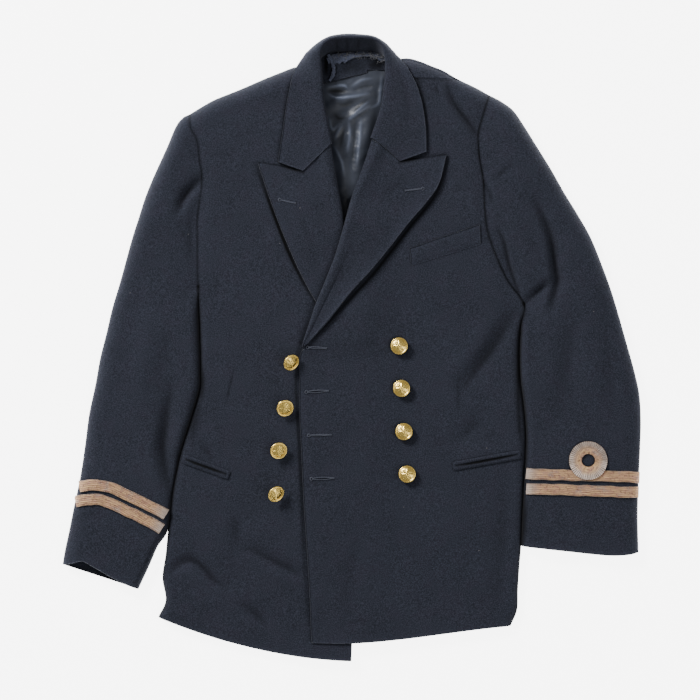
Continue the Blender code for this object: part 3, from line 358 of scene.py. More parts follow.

# Creases, seams and shaded hollows by piece, finer than the folds: width and depth of the trough,
# height of the ridge on the line's left, and how much shade is painted into the cloth's colour there
# (below 0, a painted highlight). Rows with no depth are painted only: shadows under the edges of the
# lapels and collar, beside the left front's edge and in the pocket slits, and a highlight along a sleeve's
# edge
Crease = namedtuple("Crease", "width depth beside tone line")
CREASES = tables(Crease, {
    "front_right": (
        (6, -2.4, 1.2, 0.5, ((-157, -299), (-171, -291), (-182, -278), (-199, -266), (-216, -271),
         (-227, -282))),
        (7, -2.2, 1, 0.4, ((-62, -284), (-82, -274), (-104, -263), (-132, -249))),
        (7, -1.6, 0.7, 0.32, ((-104, -349), (-118, -335), (-138, -318))),
        (8, -1.3, 0.5, 0.25, ((-146, -209), (-142, -247))),
        (6, -1, 0.4, 0.25, ((-188, -123), (-171, -139))),
        (10, -1.5, 0, 0.45, ((-189, -66), (-195, -91), (-201, -116))),
        (1.6, -0.5, 0, 0.4, ((-146, -26), (-151, -48), (-156, -71))),
        (5, -1, 0, 0.55, ((-186, -22), (-185, -47), (-188, -68))),
        (3.2, 0, 0, 0.6, ((-46, 58), (-60, 16), (-68, -16), (-68, -66), (-65, -128), (-62, -191),
         (-59, -266), (-54, -347))),
        (3.5, 0, 0, 1.1, ((-119, 229), (-105, 189), (-92, 154), (-79, 121), (-64, 89), (-46, 57))),
        (3.2, 0, 0, 0.4, ((-68, 349), (-76, 329), (-82, 301), (-86, 267), (-94, 234))),
    ),
    "sleeve_right": (
        (5, -3.2, 1.2, 0.55, ((-186, 212), (-201, 197), (-210, 184), (-216, 169))),
        (7, -4, 1.2, 0.5, ((-225, -186), (-230, -163), (-235, -129), (-231, -91), (-224, -48))),
        (1.6, 0.4, 0, -0.3, ((-291, -87), (-302, -107), (-312, -153), (-324, -191), (-335, -228),
         (-342, -247), (-348, -261))),
        (6, -1, 0.5, 0.22, ((-199, 166), (-201, 134), (-199, 107))),
        (14, 1.2, 0, -0.12, ((-249, 72), (-261, -16), (-279, -91))),
        (12, -1.2, 0, 0.14, ((-226, 34), (-244, -66), (-251, -128))),
    ),
    "front_left": (
        (4.5, -2.6, 1.4, 0.55, ((158, 264), (149, 278), (130, 303), (119, 328))),
        (3, -1, 0.4, 0.3, ((105, 328), (111, 312))),
        (9, -3.2, 1.6, 0.5, ((140, -51), (161, -22), (180, 3), (205, 47))),
        (8, -1.3, 0.5, 0.2, ((136, -116), (161, -91))),
        (1.6, -0.5, 0, 0.32, ((134, -31), (134, -59), (134, -87))),
        (4.5, -0.6, 0, 0.6, ((212, 44), (210, 3), (209, -53), (211, -103), (216, -128))),
        (4.2, 0, 0, 0.85, ((120, 239), (119, 226), (109, 198), (99, 181), (75, 152), (51, 121),
         (28, 92), (4, 66), (-21, 39), (-36, 23), (-52, 2))),
        (3.5, 0, 0, 0.5, ((62, 362), (78, 343), (85, 328), (92, 302), (96, 273), (98, 246))),
        (1.6, -0.3, 0, 0.4, ((65, 335), (99, 335), (130, 333))),
        (14, -1.4, 0.6, 0.14, ((192, -153), (186, -266), (179, -322))),
        (16, -1.2, 0.5, 0.12, ((11, -216), (-1, -278), (-8, -341))),
    ),
    "sleeve_left": (
        (2.6, -2.2, 0.8, 0.6, ((182, 149), (191, 133), (197, 106), (205, 81), (212, 63))),
        (3, -1.5, 0.5, 0.4, ((166, 206), (174, 191), (178, 178))),
        (3, -1, 0.4, 0.3, ((182, 212), (199, 228))),
        (5, -4.2, 2, 0.6, ((250, 47), (252, 59), (258, 83), (256, 97), (251, 133), (241, 161),
         (230, 183))),
        (4, -2.6, 1.2, 0.5, ((216, 54), (236, 72), (250, 83))),
        (1.4, -0.3, 0, -0.3, ((200, 287), (206, 217), (222, 178))),
        (2.4, 0, 0, -0.25, ((216, 44), (215, 3), (214, -53), (216, -97))),
        (16, -1.6, 0.8, 0.16, ((276, 47), (269, -16), (256, -78))),
        (14, -1.2, 0.6, 0.12, ((309, 84), (319, -3), (324, -91))),
        (5, -0.5, 0, 0.5, ((219, -187), (216, -247))),
    ),
    "collar": (
        (7, -0.5, 0.3, 0.12, ((58, 344), (69, 309), (71, 259))),
        (2, -0.4, 0, 0.45, ((-17.5, 384.4), (-16.9, 369.4))),
        (2, -0.4, 0, 0.4, ((-5, 384.4), (-4.4, 369.4))),
        (2, -0.4, 0, 0.35, ((8.8, 384.4), (9.4, 370.6))),
    ),
    "lapel_left": (
        (8, -0.6, 0.3, 0.12, ((26, 178), (51, 197), (71, 212))),
        (9, -0.6, 0.3, 0.1, ((-26, 59), (1, 107), (26, 134))),
        (2, -0.2, 0, 0.95, ((57.5, 230.2), (76.2, 234.4), (96.2, 239.4))),
    ),
    "lapel_right": (
        (8, -0.5, 0.3, 0.1, ((-64, 172), (-49, 128), (-41, 91))),
        (2, -0.2, 0, 0.95, ((-95, 229.4), (-76.2, 223.8), (-56.2, 217.5))),
    ),
    "lining_back": (
        (4, -1.8, 0, 0.65, ((-30, 320.6), (-17.5, 321.2), (-5, 320.6))),
        (1.9, 1.2, 0, -0.6, ((-28.4, 326.1), (-10.2, 328.1), (-5, 325.2))),
        (2, 1.2, 0, -0.55, ((-28.9, 318.5), (-18.8, 312.8), (1.2, 313.8), (22.4, 317.5))),
        (1.8, 1, 0, -0.5, ((-1.6, 286.9), (10, 298.1), (22.4, 309.9))),
        (1.6, 0.8, 0, -0.5, ((-2.5, 285), (10, 293.1), (23.8, 303.1))),
        (3, -1.2, 0, 0.5, ((2.5, 295.6), (13.8, 305.6), (23.8, 311.9))),
        (2, 1, 0, -0.45, ((-27.9, 288.9), (-23.8, 273.5), (-14, 280.2))),
        (3.4, -1.2, 0, 0.55, ((-21.2, 293.1), (-15, 286.9), (-6.2, 288.1))),
        (2, 1, 0, -0.4, ((-11.2, 278.4), (-16.2, 270.6), (-19.8, 260.6))),
        (1.8, 0.8, 0, -0.35, ((-2.5, 281.9), (-1.6, 263.1), (-5, 244.4))),
        (2.6, -1, 0, 0.45, ((-8.8, 274.4), (-11.2, 261.9), (-13.8, 250.6))),
        (2.2, 1, 0, -0.45, ((12.5, 285), (10.9, 265.6), (7.5, 228.1))),
        (2.6, -1, 0, 0.4, ((5, 281.9), (3.8, 259.4), (1.2, 231.9))),
        (1.8, 0.8, 0, -0.45, ((38.8, 339.4), (36.6, 320.6), (34.8, 306.1), (24.2, 299.4))),
        (9, -1, 0, 0.4, ((30, 296.9), (27.5, 271.9), (22.5, 234.4))),
        (3.4, -1, 0, 0.4, ((-18.8, 305.6), (-7.5, 303.1), (2.5, 306.9))),
        (2.2, 0.8, 0, -0.4, ((-21.2, 251.9), (-12.5, 234.4), (-8.8, 214.4))),
        (1.8, 0.6, 0, -0.35, ((1.2, 326.9), (12.5, 334.4), (26.2, 336.9))),
        (2.6, -0.8, 0, 0.35, ((1.2, 320.6), (16.2, 326.9), (30, 326.9))),
    ),
    # Painted shadows in the hollows of the neck facing and beside the loop
    "neck_facing": (
        (13, -1, 0, 0.7, ((21.2, 350.6), (32.5, 354.4), (43.8, 351.9))),
        (14, -0.8, 0, 0.45, ((-13.8, 346.9), (1.2, 350.6), (18.8, 351.9))),
        (6, -1, 0, 0.9, ((-32.5, 366.9), (-31.2, 353.1), (-31.2, 338.1))),
    ),
    # Painted shadow in the hip pockets' slits, over the bed between the jets
    "pocket_left": (
        (1.5, 0, 0, 1.3, ((132, -148), (170, -141), (207, -134))),
    ),
    "pocket_right": (
        (1.5, 0, 0, 1.3, ((-207, -140), (-182, -149), (-157, -158))),
    ),
})

CREASE_RUNS = 5  # short runs in each span of a crease's line
RIDGE_PLACE = 1.9  # the ridge beside a crease: its place and width, in widths of the crease
RIDGE_WIDTH = 1.3

# How much shade is painted into the cloth: the broad painted shade in a crease, the dark line at its
# bottom and the painted highlight on its ridge, as shares of the crease's painted shade, and then the
# painted shade along the seams of the armholes and the sides
TROUGH_TONE = 0.35
LINE_TONE = 0.8
RIDGE_TONE = 0.25
TONE_WIDTH = 0.5  # width of the painted dark line, as a share of the crease's width
TONE_LEAST = 1.7
SEAM_TONE = {"right": 0.55, "left": 0.75}
SEAM_TONE_WIDTH = 1.7
SIDE_TONE = 0.75
SIDE_TONE_WIDTH = 2.4

# Gentle unevenness of laid cloth: length of its waves and their depth
Waves = namedtuple("Waves", "length depth")
CLOTH_WAVES = (Waves(150, 0.55), Waves(60, 0.22), Waves(24, 0.07))
SATIN_WAVES = (Waves(40, 0.5), Waves(18, 0.25), Waves(8, 0.08))
WAVE_WAYS = 7  # directions in which waves of each length run
WAVE_SHARE = 2.6  # their depth is shared out by this, as they seldom rise together
CLOTH_SEEDS = {"front_left": 3, "front_right": 5, "sleeve_left": 7, "sleeve_right": 9}


# ---------------- lines and distances

def spline(points, places):
    """Points on a smooth curve through the given ones, at fractional places in their list."""
    known = np.array(points, float)
    padded = np.concatenate([2 * known[:1] - known[1:2], known, 2 * known[-1:] - known[-2:-1]])
    places = np.asarray(places, float)
    k = np.clip(places.astype(int), 0, len(known) - 2)
    t = (places - k).reshape(-1, *[1] * (known.ndim - 1))
    a, b, c, d = (padded[k + step] for step in range(4))
    return b + 0.5 * t * (c - a + t * (2 * a - 5 * b + 4 * c - d + t * (3 * b - a - 3 * c + d)))


def along(points, shares):
    """Points at shares of the length of a line of straight runs."""
    known = np.array(points, float)
    runs = np.r_[0, np.cumsum(np.linalg.norm(np.diff(known, axis=0), axis=1))]
    wanted = np.array(shares) * runs[-1]
    return np.stack([np.interp(wanted, runs, known[:, k]) for k in range(known.shape[1])], axis=-1)


def smooth(points, runs=CURVE_RUNS):
    """A smooth curve through the points as many short runs."""
    return spline(points, np.arange(0, (len(points) - 1) * runs + 1) / runs)


def distance(x, y, line):
    """How far each place is from a line, how far along it the nearest point lies, 0 to 1, and the
    line's side, 1 on its left and -1 on its right."""
    line = np.array(line, float)
    best = np.full(np.shape(x), np.inf)
    share = np.zeros(np.shape(x))
    side = np.ones(np.shape(x))
    for k, (a, b) in enumerate(zip(line[:-1], line[1:])):
        run = b - a
        off_x, off_y = x - a[0], y - a[1]
        t = np.clip((off_x * run[0] + off_y * run[1]) / (run @ run), 0, 1)
        away = np.hypot(off_x - t * run[0], off_y - t * run[1])
        nearer = away < best
        share = np.where(nearer, (k + t) / (len(line) - 1), share)
        side = np.where(nearer, np.sign(run[0] * off_y - run[1] * off_x), side)
        best = np.minimum(best, away)
    return best, share, side


def ease(t):
    t = np.clip(t, 0, 1)
    return t * t * (3 - 2 * t)


def finer(count, parts):
    """Fractional numbers from 0 to count - 1 with the given parts in each step."""
    return np.arange((count - 1) * parts + 1) / parts


# ---------------- the form of the laid-out jacket

def body_points(kind, side):
    """The body's 'side' or inner 'edge' by section, for 'r' or 'l'."""
    return [(getattr(row, f"{kind}_{side}_x"), getattr(row, f"{kind}_{side}_y")) for row in BODY]


def side_lines(side):
    """The armhole and the side of the body below it, as smooth curves for 'r' or 'l'."""
    line = smooth(body_points("side", side))
    underarm = (ARMHOLE_ROWS - 1) * CURVE_RUNS
    return line[:underarm + 1], line[underarm:]


def sleeve_inner(side):
    """A sleeve's inner line by row: the armhole, the line beside the body and the cuff's own."""
    line = body_points("side", side)[:BESIDE_ROWS]
    return np.array(line + list(CUFF_R_INNER if side == "r" else ()), float)


SLEEVE_OUTERS = {"right": SLEEVE_R_OUTER, "left": SLEEVE_L_OUTER}
SLEEVE_INNERS = {"right": sleeve_inner("r"), "left": sleeve_inner("l")}
OUTLINES = {
    "right": np.vstack([smooth(SHOULDER_R)[::-1], smooth(SLEEVE_R_OUTER)]),
    "left": np.vstack([smooth(SHOULDER_L), smooth(SLEEVE_L_OUTER)]),
}
ARMHOLES = {"right": side_lines("r")[0], "left": side_lines("l")[0]}
SIDES = {"right": side_lines("r")[1], "left": side_lines("l")[1]}
BESIDES = {side: smooth(line)[(ARMHOLE_ROWS - 1) * CURVE_RUNS:] for side, line in SLEEVE_INNERS.items()}


def folded(x, y, piece):
    """The height that a piece's folds add."""
    total = np.zeros(np.shape(x))
    for fold in FOLDS.get(piece, ()):
        away, share, _ = distance(x, y, fold.line)
        total += fold.depth * np.exp(-(away / fold.width) ** 2) * np.sin(math.pi * (0.1 + 0.8 * share))
    return total


def crease_forms(x, y, piece):
    """Each crease of a piece with its trough, the ridge beside it and its painted dark line, from 0 to 1."""
    for crease in CREASES.get(piece, ()):
        away, share, side = distance(x, y, smooth(crease.line, CREASE_RUNS))
        across = away * side / crease.width
        fade = np.sin(math.pi * (0.04 + 0.92 * share)) ** 0.7
        core = max(TONE_WIDTH * crease.width, min(crease.width, TONE_LEAST))
        ridge = fade * np.exp(-((across - RIDGE_PLACE) / RIDGE_WIDTH) ** 2)
        yield crease, fade * np.exp(-across ** 2), ridge, fade * np.exp(-(away / core) ** 2)


def creased(x, y, piece):
    """The height that a piece's finer creases add."""
    total = np.zeros(np.shape(x))
    for crease, trough, ridge, _ in crease_forms(x, y, piece):
        total += crease.depth * trough + crease.beside * ridge
    return total


def painted_shading(x, y, piece):
    """The shade painted into a piece's colour in its creases, seams and hollows, and below 0 the highlight
    painted on a ridge.
    """
    total = np.zeros(np.shape(x))
    for crease, trough, ridge, line in crease_forms(x, y, piece):
        total += crease.tone * (TROUGH_TONE * trough + LINE_TONE * line)
        if crease.beside:
            total -= RIDGE_TONE * crease.tone * ridge
    side = piece.split("_")[-1]
    if piece.startswith(("front", "sleeve")) and side in ARMHOLES:
        seam = distance(x, y, ARMHOLES[side])[0]
        total += SEAM_TONE[side] * np.exp(-(seam / SEAM_TONE_WIDTH) ** 2)
        total += SIDE_TONE * np.exp(-(distance(x, y, SIDES[side])[0] / SIDE_TONE_WIDTH) ** 2)
    return total


def uneven(x, y, seed, waves):
    """Soft bumps made of a few waves that run in many directions."""
    draws = np.random.default_rng(seed)
    total = np.zeros(np.shape(x))
    for wave in waves:
        for _ in range(WAVE_WAYS):
            turn, phase = draws.uniform(0, 2 * math.pi, 2)
            pitch = 2 * math.pi / (wave.length * draws.uniform(0.7, 1.4))
            run = x * math.cos(turn) + y * math.sin(turn)
            total += wave.depth / WAVE_SHARE * np.sin(pitch * run + phase)
    return total


def rounded(height, foot, away, radius):
    """Height over a margin that rounds down to its foot as a quarter of an ellipse."""
    t = np.clip((away - ON_LINE) / radius, 0, 1)
    return foot + (height - foot) * np.sqrt(np.maximum(1 - (1 - t) ** 2, 0))


def lap(x, y):
    """How much the left front is raised by the right front and its lapel under it."""
    over_front = ease((LAP_TOP - y) / LAP_SLOPE)
    over_lapel = ease((LAPEL_LAP_TOP - y) / LAPEL_LAP_SLOPE)
    over_lapel = over_lapel * ease((y - LAPEL_LAP_FOOT) / LAPEL_LAP_FOOT_SLOPE)
    settle = 1 - ease((x - LAP_EDGE) / LAP_SETTLE)
    return settle * (LAP_RISE * over_front + LAPEL_LAP_RISE * over_lapel)


def margins(x, y, height, side, inner):
    """Rounds a height down to the outline and, below the underarm, to the line beside the sleeve."""
    height = rounded(height, FOOT, distance(x, y, OUTLINES[side])[0], OUTLINE_ROUND)
    beside = rounded(height, FOOT, distance(x, y, inner)[0], SIDE_ROUND)
    below = ease((inner[0][1] - y) / UNDERARM_FADE)
    return height + (beside - height) * below


def level(x, y, side):
    """The fronts' height before any margin, with the dip along the armhole."""
    height = np.interp(-y, [-row.y for row in HEIGHTS], [row.front for row in HEIGHTS])
    away = distance(x, y, ARMHOLES[side])[0]
    return height - ARMHOLE_DIP * np.exp(-(away / ARMHOLE_WIDTH) ** 2)


def front_height(x, y, side):
    """Height of the outer face of the right or left front."""
    piece = f"front_{side}"
    height = level(x, y, side) + folded(x, y, piece) + creased(x, y, piece)
    height = height + uneven(x, y, CLOTH_SEEDS[piece], CLOTH_WAVES)
    if side == "left":
        height = height + lap(x, y)
    return margins(x, y, height, side, SIDES[side])


def sleeve_height(x, y, side):
    """Height of the outer face of a top sleeve."""
    piece = f"sleeve_{side}"
    away = distance(x, y, ARMHOLES[side])[0]
    height = level(x, y, side) + SLEEVE_RISE * ease(away / SLEEVE_RISE_WIDTH)
    height = height + folded(x, y, piece) + creased(x, y, piece)
    height = height + uneven(x, y, CLOTH_SEEDS[piece], CLOTH_WAVES)
    return margins(x, y, height, side, BESIDES[side])


def curl(away):
    """How high a margin turns up at a distance from its line, as a quarter of a round."""
    t = np.clip(1 - (away - ON_LINE) / CURL, 0, 1)
    return CURL * (1 - np.sqrt(np.maximum(1 - t ** 2, 0)))


def floor_height(x, y, side, inner):
    """Height of the under face of the back and the under sleeves: flat, with its margins turned up."""
    turned = curl(distance(x, y, OUTLINES[side])[0])
    beside = curl(distance(x, y, inner)[0]) * ease((inner[0][1] - y) / UNDERARM_FADE)
    return np.maximum(turned, beside)


# ---------------- grids of places

def quarter(steps):
    """Shares of a rounded margin's width, close together at its foot."""
    return 1 - np.cos(np.linspace(0, math.pi / 2, steps))


def spread(width, first, last, inner, steps=QUARTER_STEPS):
    """Distances across a section, close together over its rounded margins, which may be 0 wide."""
    first = min(first, 0.4 * width)
    last = min(last, 0.4 * width)
    start = first * quarter(steps) if first else np.zeros(1)
    stop = width - last * quarter(steps)[::-1] if last else np.array([width])
    middle = np.linspace(start[-1], stop[0], inner + 2)[1:-1]
    return np.r_[start, middle, stop]


def cross(starts, stops, first, last, inner, steps=QUARTER_STEPS):
    """Rows of places between two edges, with margins of the given widths."""
    width = np.linalg.norm(stops - starts, axis=1)
    shares = np.array([spread(w, first, last, inner, steps) / w for w in width])
    return starts[:, None] + shares[..., None] * (stops - starts)[:, None]


def drawn_in(edge, other, gap):
    """An edge moved towards the other one, which leaves the gap at a seam."""
    towards = other - edge
    return edge + gap * towards / np.linalg.norm(towards, axis=1)[:, None]


def follow(grid, line, fades, columns=None):
    """Bends a grid's rows in place, each by its fade, so that the first one lies along a line. The
    line's points belong to (columns, wanted columns), or else its length is shared out as the row's is."""
    if columns is None:
        runs = np.r_[0, np.cumsum(np.linalg.norm(np.diff(grid[0], axis=0), axis=1))]
        wanted = along(line, runs / runs[-1])
    else:
        known = np.array(line, float)
        wanted = np.stack([np.interp(columns[1], columns[0], known[:, k]) for k in (0, 1)], axis=-1)
    change = wanted - grid[0]
    if columns is not None:
        change = at_ends(change, columns)
    grid += np.asarray(fades)[:, None, None] * change[None]


def at_ends(change, columns):
    """The change of the columns that lie beyond the line's own is that of its end."""
    known, wanted = columns
    wanted = np.asarray(wanted)
    inside = (wanted >= min(known) - 1e-9) & (wanted <= max(known) + 1e-9)
    numbers = np.flatnonzero(inside)
    nearest = np.clip(np.arange(len(wanted)), numbers[0], numbers[-1])
    return change[nearest]


def plan(places):
    """The two coordinates of a grid of places, seen from above."""
    return places[..., 0], places[..., 1]


def with_height(places, height):
    """A grid of places with a height for each."""
    return np.dstack([places[..., 0], places[..., 1], height])


def on_front(places, side):
    """A grid of places on the outer face of a front."""
    return with_height(places, front_height(*plan(places), side))


def on_sleeve(places, side):
    """A grid of places on the outer face of a top sleeve."""
    return with_height(places, sleeve_height(*plan(places), side))


def normals(grid, loop=False):
    """Unit normals of a grid of points. A loop's last column meets its first."""
    down = np.gradient(grid, axis=0)
    if loop:
        across = (np.roll(grid, -1, axis=1) - np.roll(grid, 1, axis=1)) / 2
    else:
        across = np.gradient(grid, axis=1)
    found = np.cross(down, across)
    return found / np.maximum(np.linalg.norm(found, axis=-1, keepdims=True), 1e-12)


def up(found, columns=slice(None)):
    """Normals turned so that they point up on the whole, or in the columns given."""
    return found if found[:, columns, 2].sum() > 0 else -found


# ---------------- meshes

def grid_quads(numbers, loop=False):
    """Faces of a grid of point numbers. A loop's last column meets its first."""
    if loop:
        numbers = np.hstack([numbers, numbers[:, :1]])
    corners = (numbers[:-1, :-1], numbers[:-1, 1:], numbers[1:, 1:], numbers[1:, :-1])
    return np.stack([corner.ravel() for corner in corners], axis=-1)


class Shell:
    """Points and faces of one piece, with the nearness of each point to a free edge and, where a
    finish runs with the cloth, each point's place along and across it in millimetres."""

    def __init__(self):
        self.points = []
        self.faces = []
        self.edge = []
        self.ways = []
        self.count = 0

    def add(self, points, faces, edge=None, ways=None):
        points = np.asarray(points, float).reshape(-1, 3)
        self.points.append(points)
        self.faces += [tuple(int(k) + self.count for k in face) for face in faces]
        self.edge.append(np.zeros(len(points)) if edge is None else np.asarray(edge, float).ravel())
        self.ways.append(np.zeros((len(points), 2)) if ways is None else np.asarray(ways).reshape(-1, 2))
        self.count += len(points)
        return self

    def piece(self, name, finish, slot, node=None, flat_above=180.0):
        """The finished object, which rides on the root and stands for its node."""
        places = np.vstack(self.points)
        # The shade painted into the piece's colour in its creases and seams, below 0 a painted highlight
        tone = painted_shading(places[:, 0], places[:, 1], (node or name).replace("_top", ""))
        mesh = bpy.data.meshes.new(name)
        points = (places - CENTRE) * MM
        mesh.from_pydata(points.tolist(), [], self.faces)
        mesh.validate()
        for measure, values in (("edge", np.concatenate(self.edge)), ("tone", tone)):
            kept = mesh.attributes.new(measure, "FLOAT", "POINT")
            kept.data.foreach_set("value", values.astype(np.float32))
        ways = np.vstack(self.ways)
        if ways.any():
            corners = np.zeros(len(mesh.loops), np.int32)
            mesh.loops.foreach_get("vertex_index", corners)
            mesh.uv_layers.new(name="ways").data.foreach_set("uv", (ways[corners] * MM).ravel())
        shape = bpy.data.objects.new(name, mesh)
        bpy.context.scene.collection.objects.link(shape)
        mesh.materials.append(finish)
        mesh.shade_smooth()
        if flat_above < 180:
            mesh.set_sharp_from_angle(angle=math.radians(flat_above))
        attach(shape, "root")
        if node:
            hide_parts(node)
        return shape


def border(rows, columns):
    """The point numbers round the border of a grid."""
    numbers = np.arange(rows * columns).reshape(rows, columns)
    return np.r_[numbers[0, :-1], numbers[:-1, -1], numbers[-1, :0:-1], numbers[:0:-1, 0]]


def rim(shell, outer, inner, loop, swell):
    """Closes the way between the outer and inner face along a loop of point numbers, swelling out."""
    count = len(outer)
    start, stop = outer[loop], inner[loop]
    run = np.roll(start, -1, axis=0) - np.roll(start, 1, axis=0)
    out = np.cross(run, start - stop)
    out /= np.maximum(np.linalg.norm(out, axis=1, keepdims=True), 1e-9)
    rows = [loop]
    for k, share in enumerate(RIM_STEPS):
        bulge = (np.asarray(swell) * math.sin(math.pi * share) ** 0.6)[:, None]
        rows.append(2 * count + k * len(loop) + np.arange(len(loop)))
        shell.add(start + share * (stop - start) + bulge * out, (), np.ones(len(loop)))
    rows.append(loop + count)
    return grid_quads(np.array(rows), loop=True)


def shell_of(outer, inner, free=(), ways=None):
    """A closed shell between two grids of points. The free sides, of 'top', 'last', 'bottom' and
    'first', swell out as folded cloth does, and count as edges where the cloth is paler, partly from
    wear and partly as a painted highlight."""
    rows, columns = outer.shape[:2]
    a, b = outer.reshape(-1, 3), inner.reshape(-1, 3)
    quads = grid_quads(np.arange(rows * columns).reshape(rows, columns))
    near = np.full((rows, columns), np.inf)
    lines = {"top": outer[0], "bottom": outer[-1], "first": outer[:, 0], "last": outer[:, -1]}
    for side in free:
        line = lines[side]
        if len(line) > LONG_LINE:
            line = line[::LONG_LINE_STEP]
        near = np.minimum(near, distance(outer[..., 0], outer[..., 1], line[:, :2])[0])
    edge = np.exp(-(near / PALE_EDGE_REACH) ** 2).ravel()
    shell = Shell()
    shell.add(a, quads, edge, ways)
    shell.add(b, quads[:, ::-1], edge * 0, ways)
    loop = border(rows, columns)
    runs = (columns - 1, rows - 1, columns - 1, rows - 1)
    swell = np.concatenate([
        np.full(run, RIM_SWELL if side in free else 0.0)
        for side, run in zip(("top", "last", "bottom", "first"), runs)])
    faces = rim(shell, a, b, loop, swell_out(outer, loop, swell))
    shell.faces += [tuple(int(k) for k in face) for face in faces]
    return shell


def swell_out(outer, loop, swell):
    """The swell with its sign set so that the rim moves away from the grid's middle."""
    flat = outer.reshape(-1, 3)[loop][:, :2]
    after = np.roll(flat, -1, axis=0)
    area = np.sum(flat[:, 0] * after[:, 1] - after[:, 0] * flat[:, 1])
    return swell * (1 if area > 0 else -1)


def ring_shell(outer, inner, ways=None):
    """A closed shell between two grids whose last column meets the first."""
    rows, columns = outer.shape[:2]
    numbers = np.arange(rows * columns).reshape(rows, columns)
    quads = grid_quads(numbers, loop=True)
    shell = Shell()
    shell.add(outer, quads, None, ways)
    shell.add(inner, quads[:, ::-1], None, ways)
    count = rows * columns
    for row in (0, rows - 1):
        band = np.array([numbers[row], numbers[row] + count])
        if row:
            band = band[::-1]
        shell.faces += [tuple(int(k) for k in face) for face in grid_quads(band, loop=True)]
    return shell


def hung(outer, thickness, floor=None, free=()):
    """A shell whose inner face lies below the outer one, never lower than the floor given."""
    inner = outer - thickness * up(normals(outer))
    if floor is not None:
        inner[..., 2] = np.maximum(inner[..., 2], np.minimum(outer[..., 2], floor))
    return shell_of(outer, inner, free)


def laid(base, gap, thickness, free=(), ways=None, loop=False):
    """A shell that lies on cloth: the cloth's own points moved out by a gap and by its thickness."""
    out = up(normals(base, loop))
    if loop:
        return ring_shell(base + (gap + thickness) * out, base + gap * out, ways)
    return shell_of(base + (gap + thickness) * out, base + gap * out, free, ways)


def tube(path, radius, sides):
    """Points and faces of a round thread along a path of points."""
    path = np.asarray(path, float)
    run = np.gradient(path, axis=0)
    run /= np.maximum(np.linalg.norm(run, axis=1, keepdims=True), 1e-9)
    side = np.cross(run, (0.0, 0.0, 1.0))
    side[np.linalg.norm(side, axis=1) < 1e-3] = (1.0, 0.0, 0.0)
    side /= np.linalg.norm(side, axis=1, keepdims=True)
    over = np.cross(side, run)
    turns = 2 * math.pi * np.arange(sides) / sides
    size = np.broadcast_to(np.asarray(radius, float), len(path))[:, None, None]
    ring = np.cos(turns)[None, :, None] * side[:, None] + np.sin(turns)[None, :, None] * over[:, None]
    points = (path[:, None] + size * ring).reshape(-1, 3)
    numbers = np.arange(len(points)).reshape(len(path), sides)
    faces = grid_quads(numbers, loop=True).tolist()
    return points, faces + [numbers[0, ::-1].tolist(), numbers[-1].tolist()]


# ---------------- the cloth pieces

# Rows of the fronts and top sleeves, close together at the top, and coarser ones of the under pieces
ROWS = np.r_[0, 0.01, 0.03, 0.06, finer(len(BODY), ROW_PARTS)[1:]]
UNDER_ROWS = np.r_[0, 0.02, 0.08, 0.25, finer(len(BODY), 3)[1:]]

# How much of a bend to an edge's own line each row takes, by its number from that edge
FRONT_TOP_ROWS = (0, 0.08, 0.3, 0.62, 1)
FRONT_TOP_FADE = (1, 0.92, 0.7, 0.4, 0)
BACK_TOP_ROWS = (0, 0.02, 0.08, 0.25, 1, 2, 3, 4, 5, 6)
BACK_TOP_FADE = (1, 0.99, 0.97, 0.92, 0.72, 0.5, 0.3, 0.15, 0.05, 0)
BACK_HEM_FADE = (1, 0.6, 0.25, 0)
CUFF_FADE = (1, 0.45, 0.1, 0)

# Columns between the margins of each piece
FRONT_COLUMNS = 136
TOP_SLEEVE_COLUMNS = 68
UNDER_SLEEVE_COLUMNS = 16
BACK_INNER_COLUMNS = 12

UNDER_MARGIN_STEPS = 5  # columns over the turned-up margin of a piece on the floor
BACK_COLUMNS = BACK_INNER_COLUMNS + 2 * UNDER_MARGIN_STEPS  # of the back's coarse grid
BACK_COLUMN_PARTS = 4  # fine columns in each coarse one
FLAP_ROWS = np.r_[0.01, 0.03, 0.06, np.arange(0.1, 1.001, 0.06)]  # shares of the way to the seam
FLAP_FOOT = 0.3  # the flap stays this far above the fronts' foot

LINING_ACROSS = (-58, 60, 80)  # from, to and number of columns
LINING_DOWN = (351, 95, 164)  # from, to and number of rows
LINING_TAPER = 0.1  # the lining narrows by this share towards its foot
LINING_TAPER_TOP = 240.0
LINING_TAPER_LENGTH = 120.0
LINING_LOWEST = -0.4  # its rumples go no lower than this


def side_gaps(rows):
    """Half of the gap at each row, along the armhole and then beside the sleeve."""
    return np.where(rows < ARMHOLE_ROWS, SEAM, SIDE_GAP)[:, None]


def front(side):
    """A front from the shoulder to the hem, rounded down at its side below the underarm."""
    edge = spline(body_points("edge", side[0]), ROWS)
    outer_edge = drawn_in(spline(body_points("side", side[0]), ROWS), edge, side_gaps(ROWS))
    places = cross(outer_edge, edge, SIDE_ROUND, 0, FRONT_COLUMNS)
    drops = LEFT_HEM_DROP if side == "left" else RIGHT_HEM_DROP
    last = len(BODY) - 1
    drop = np.interp(last - ROWS, range(5), (*drops, 0))[:, None]
    share = np.linalg.norm(places - places[:, :1], axis=2)
    share /= share[:, -1:]
    # either bow is 1 where it is deepest
    bow = 6.75 * share ** 2 * (1 - share) if side == "left" else 4 * share * (1 - share)
    places[..., 1] -= drop * bow
    top = smooth(SEAM_L[::-1] if side == "left" else SHOULDER_R)
    top[0] = places[0, 0]
    follow(places, top, np.interp(ROWS, FRONT_TOP_ROWS, FRONT_TOP_FADE))
    grid = on_front(places, side)
    shell = hung(grid, WALL, FOOT, ("last", "bottom"))
    return cloth(shell, f"front_{side}")


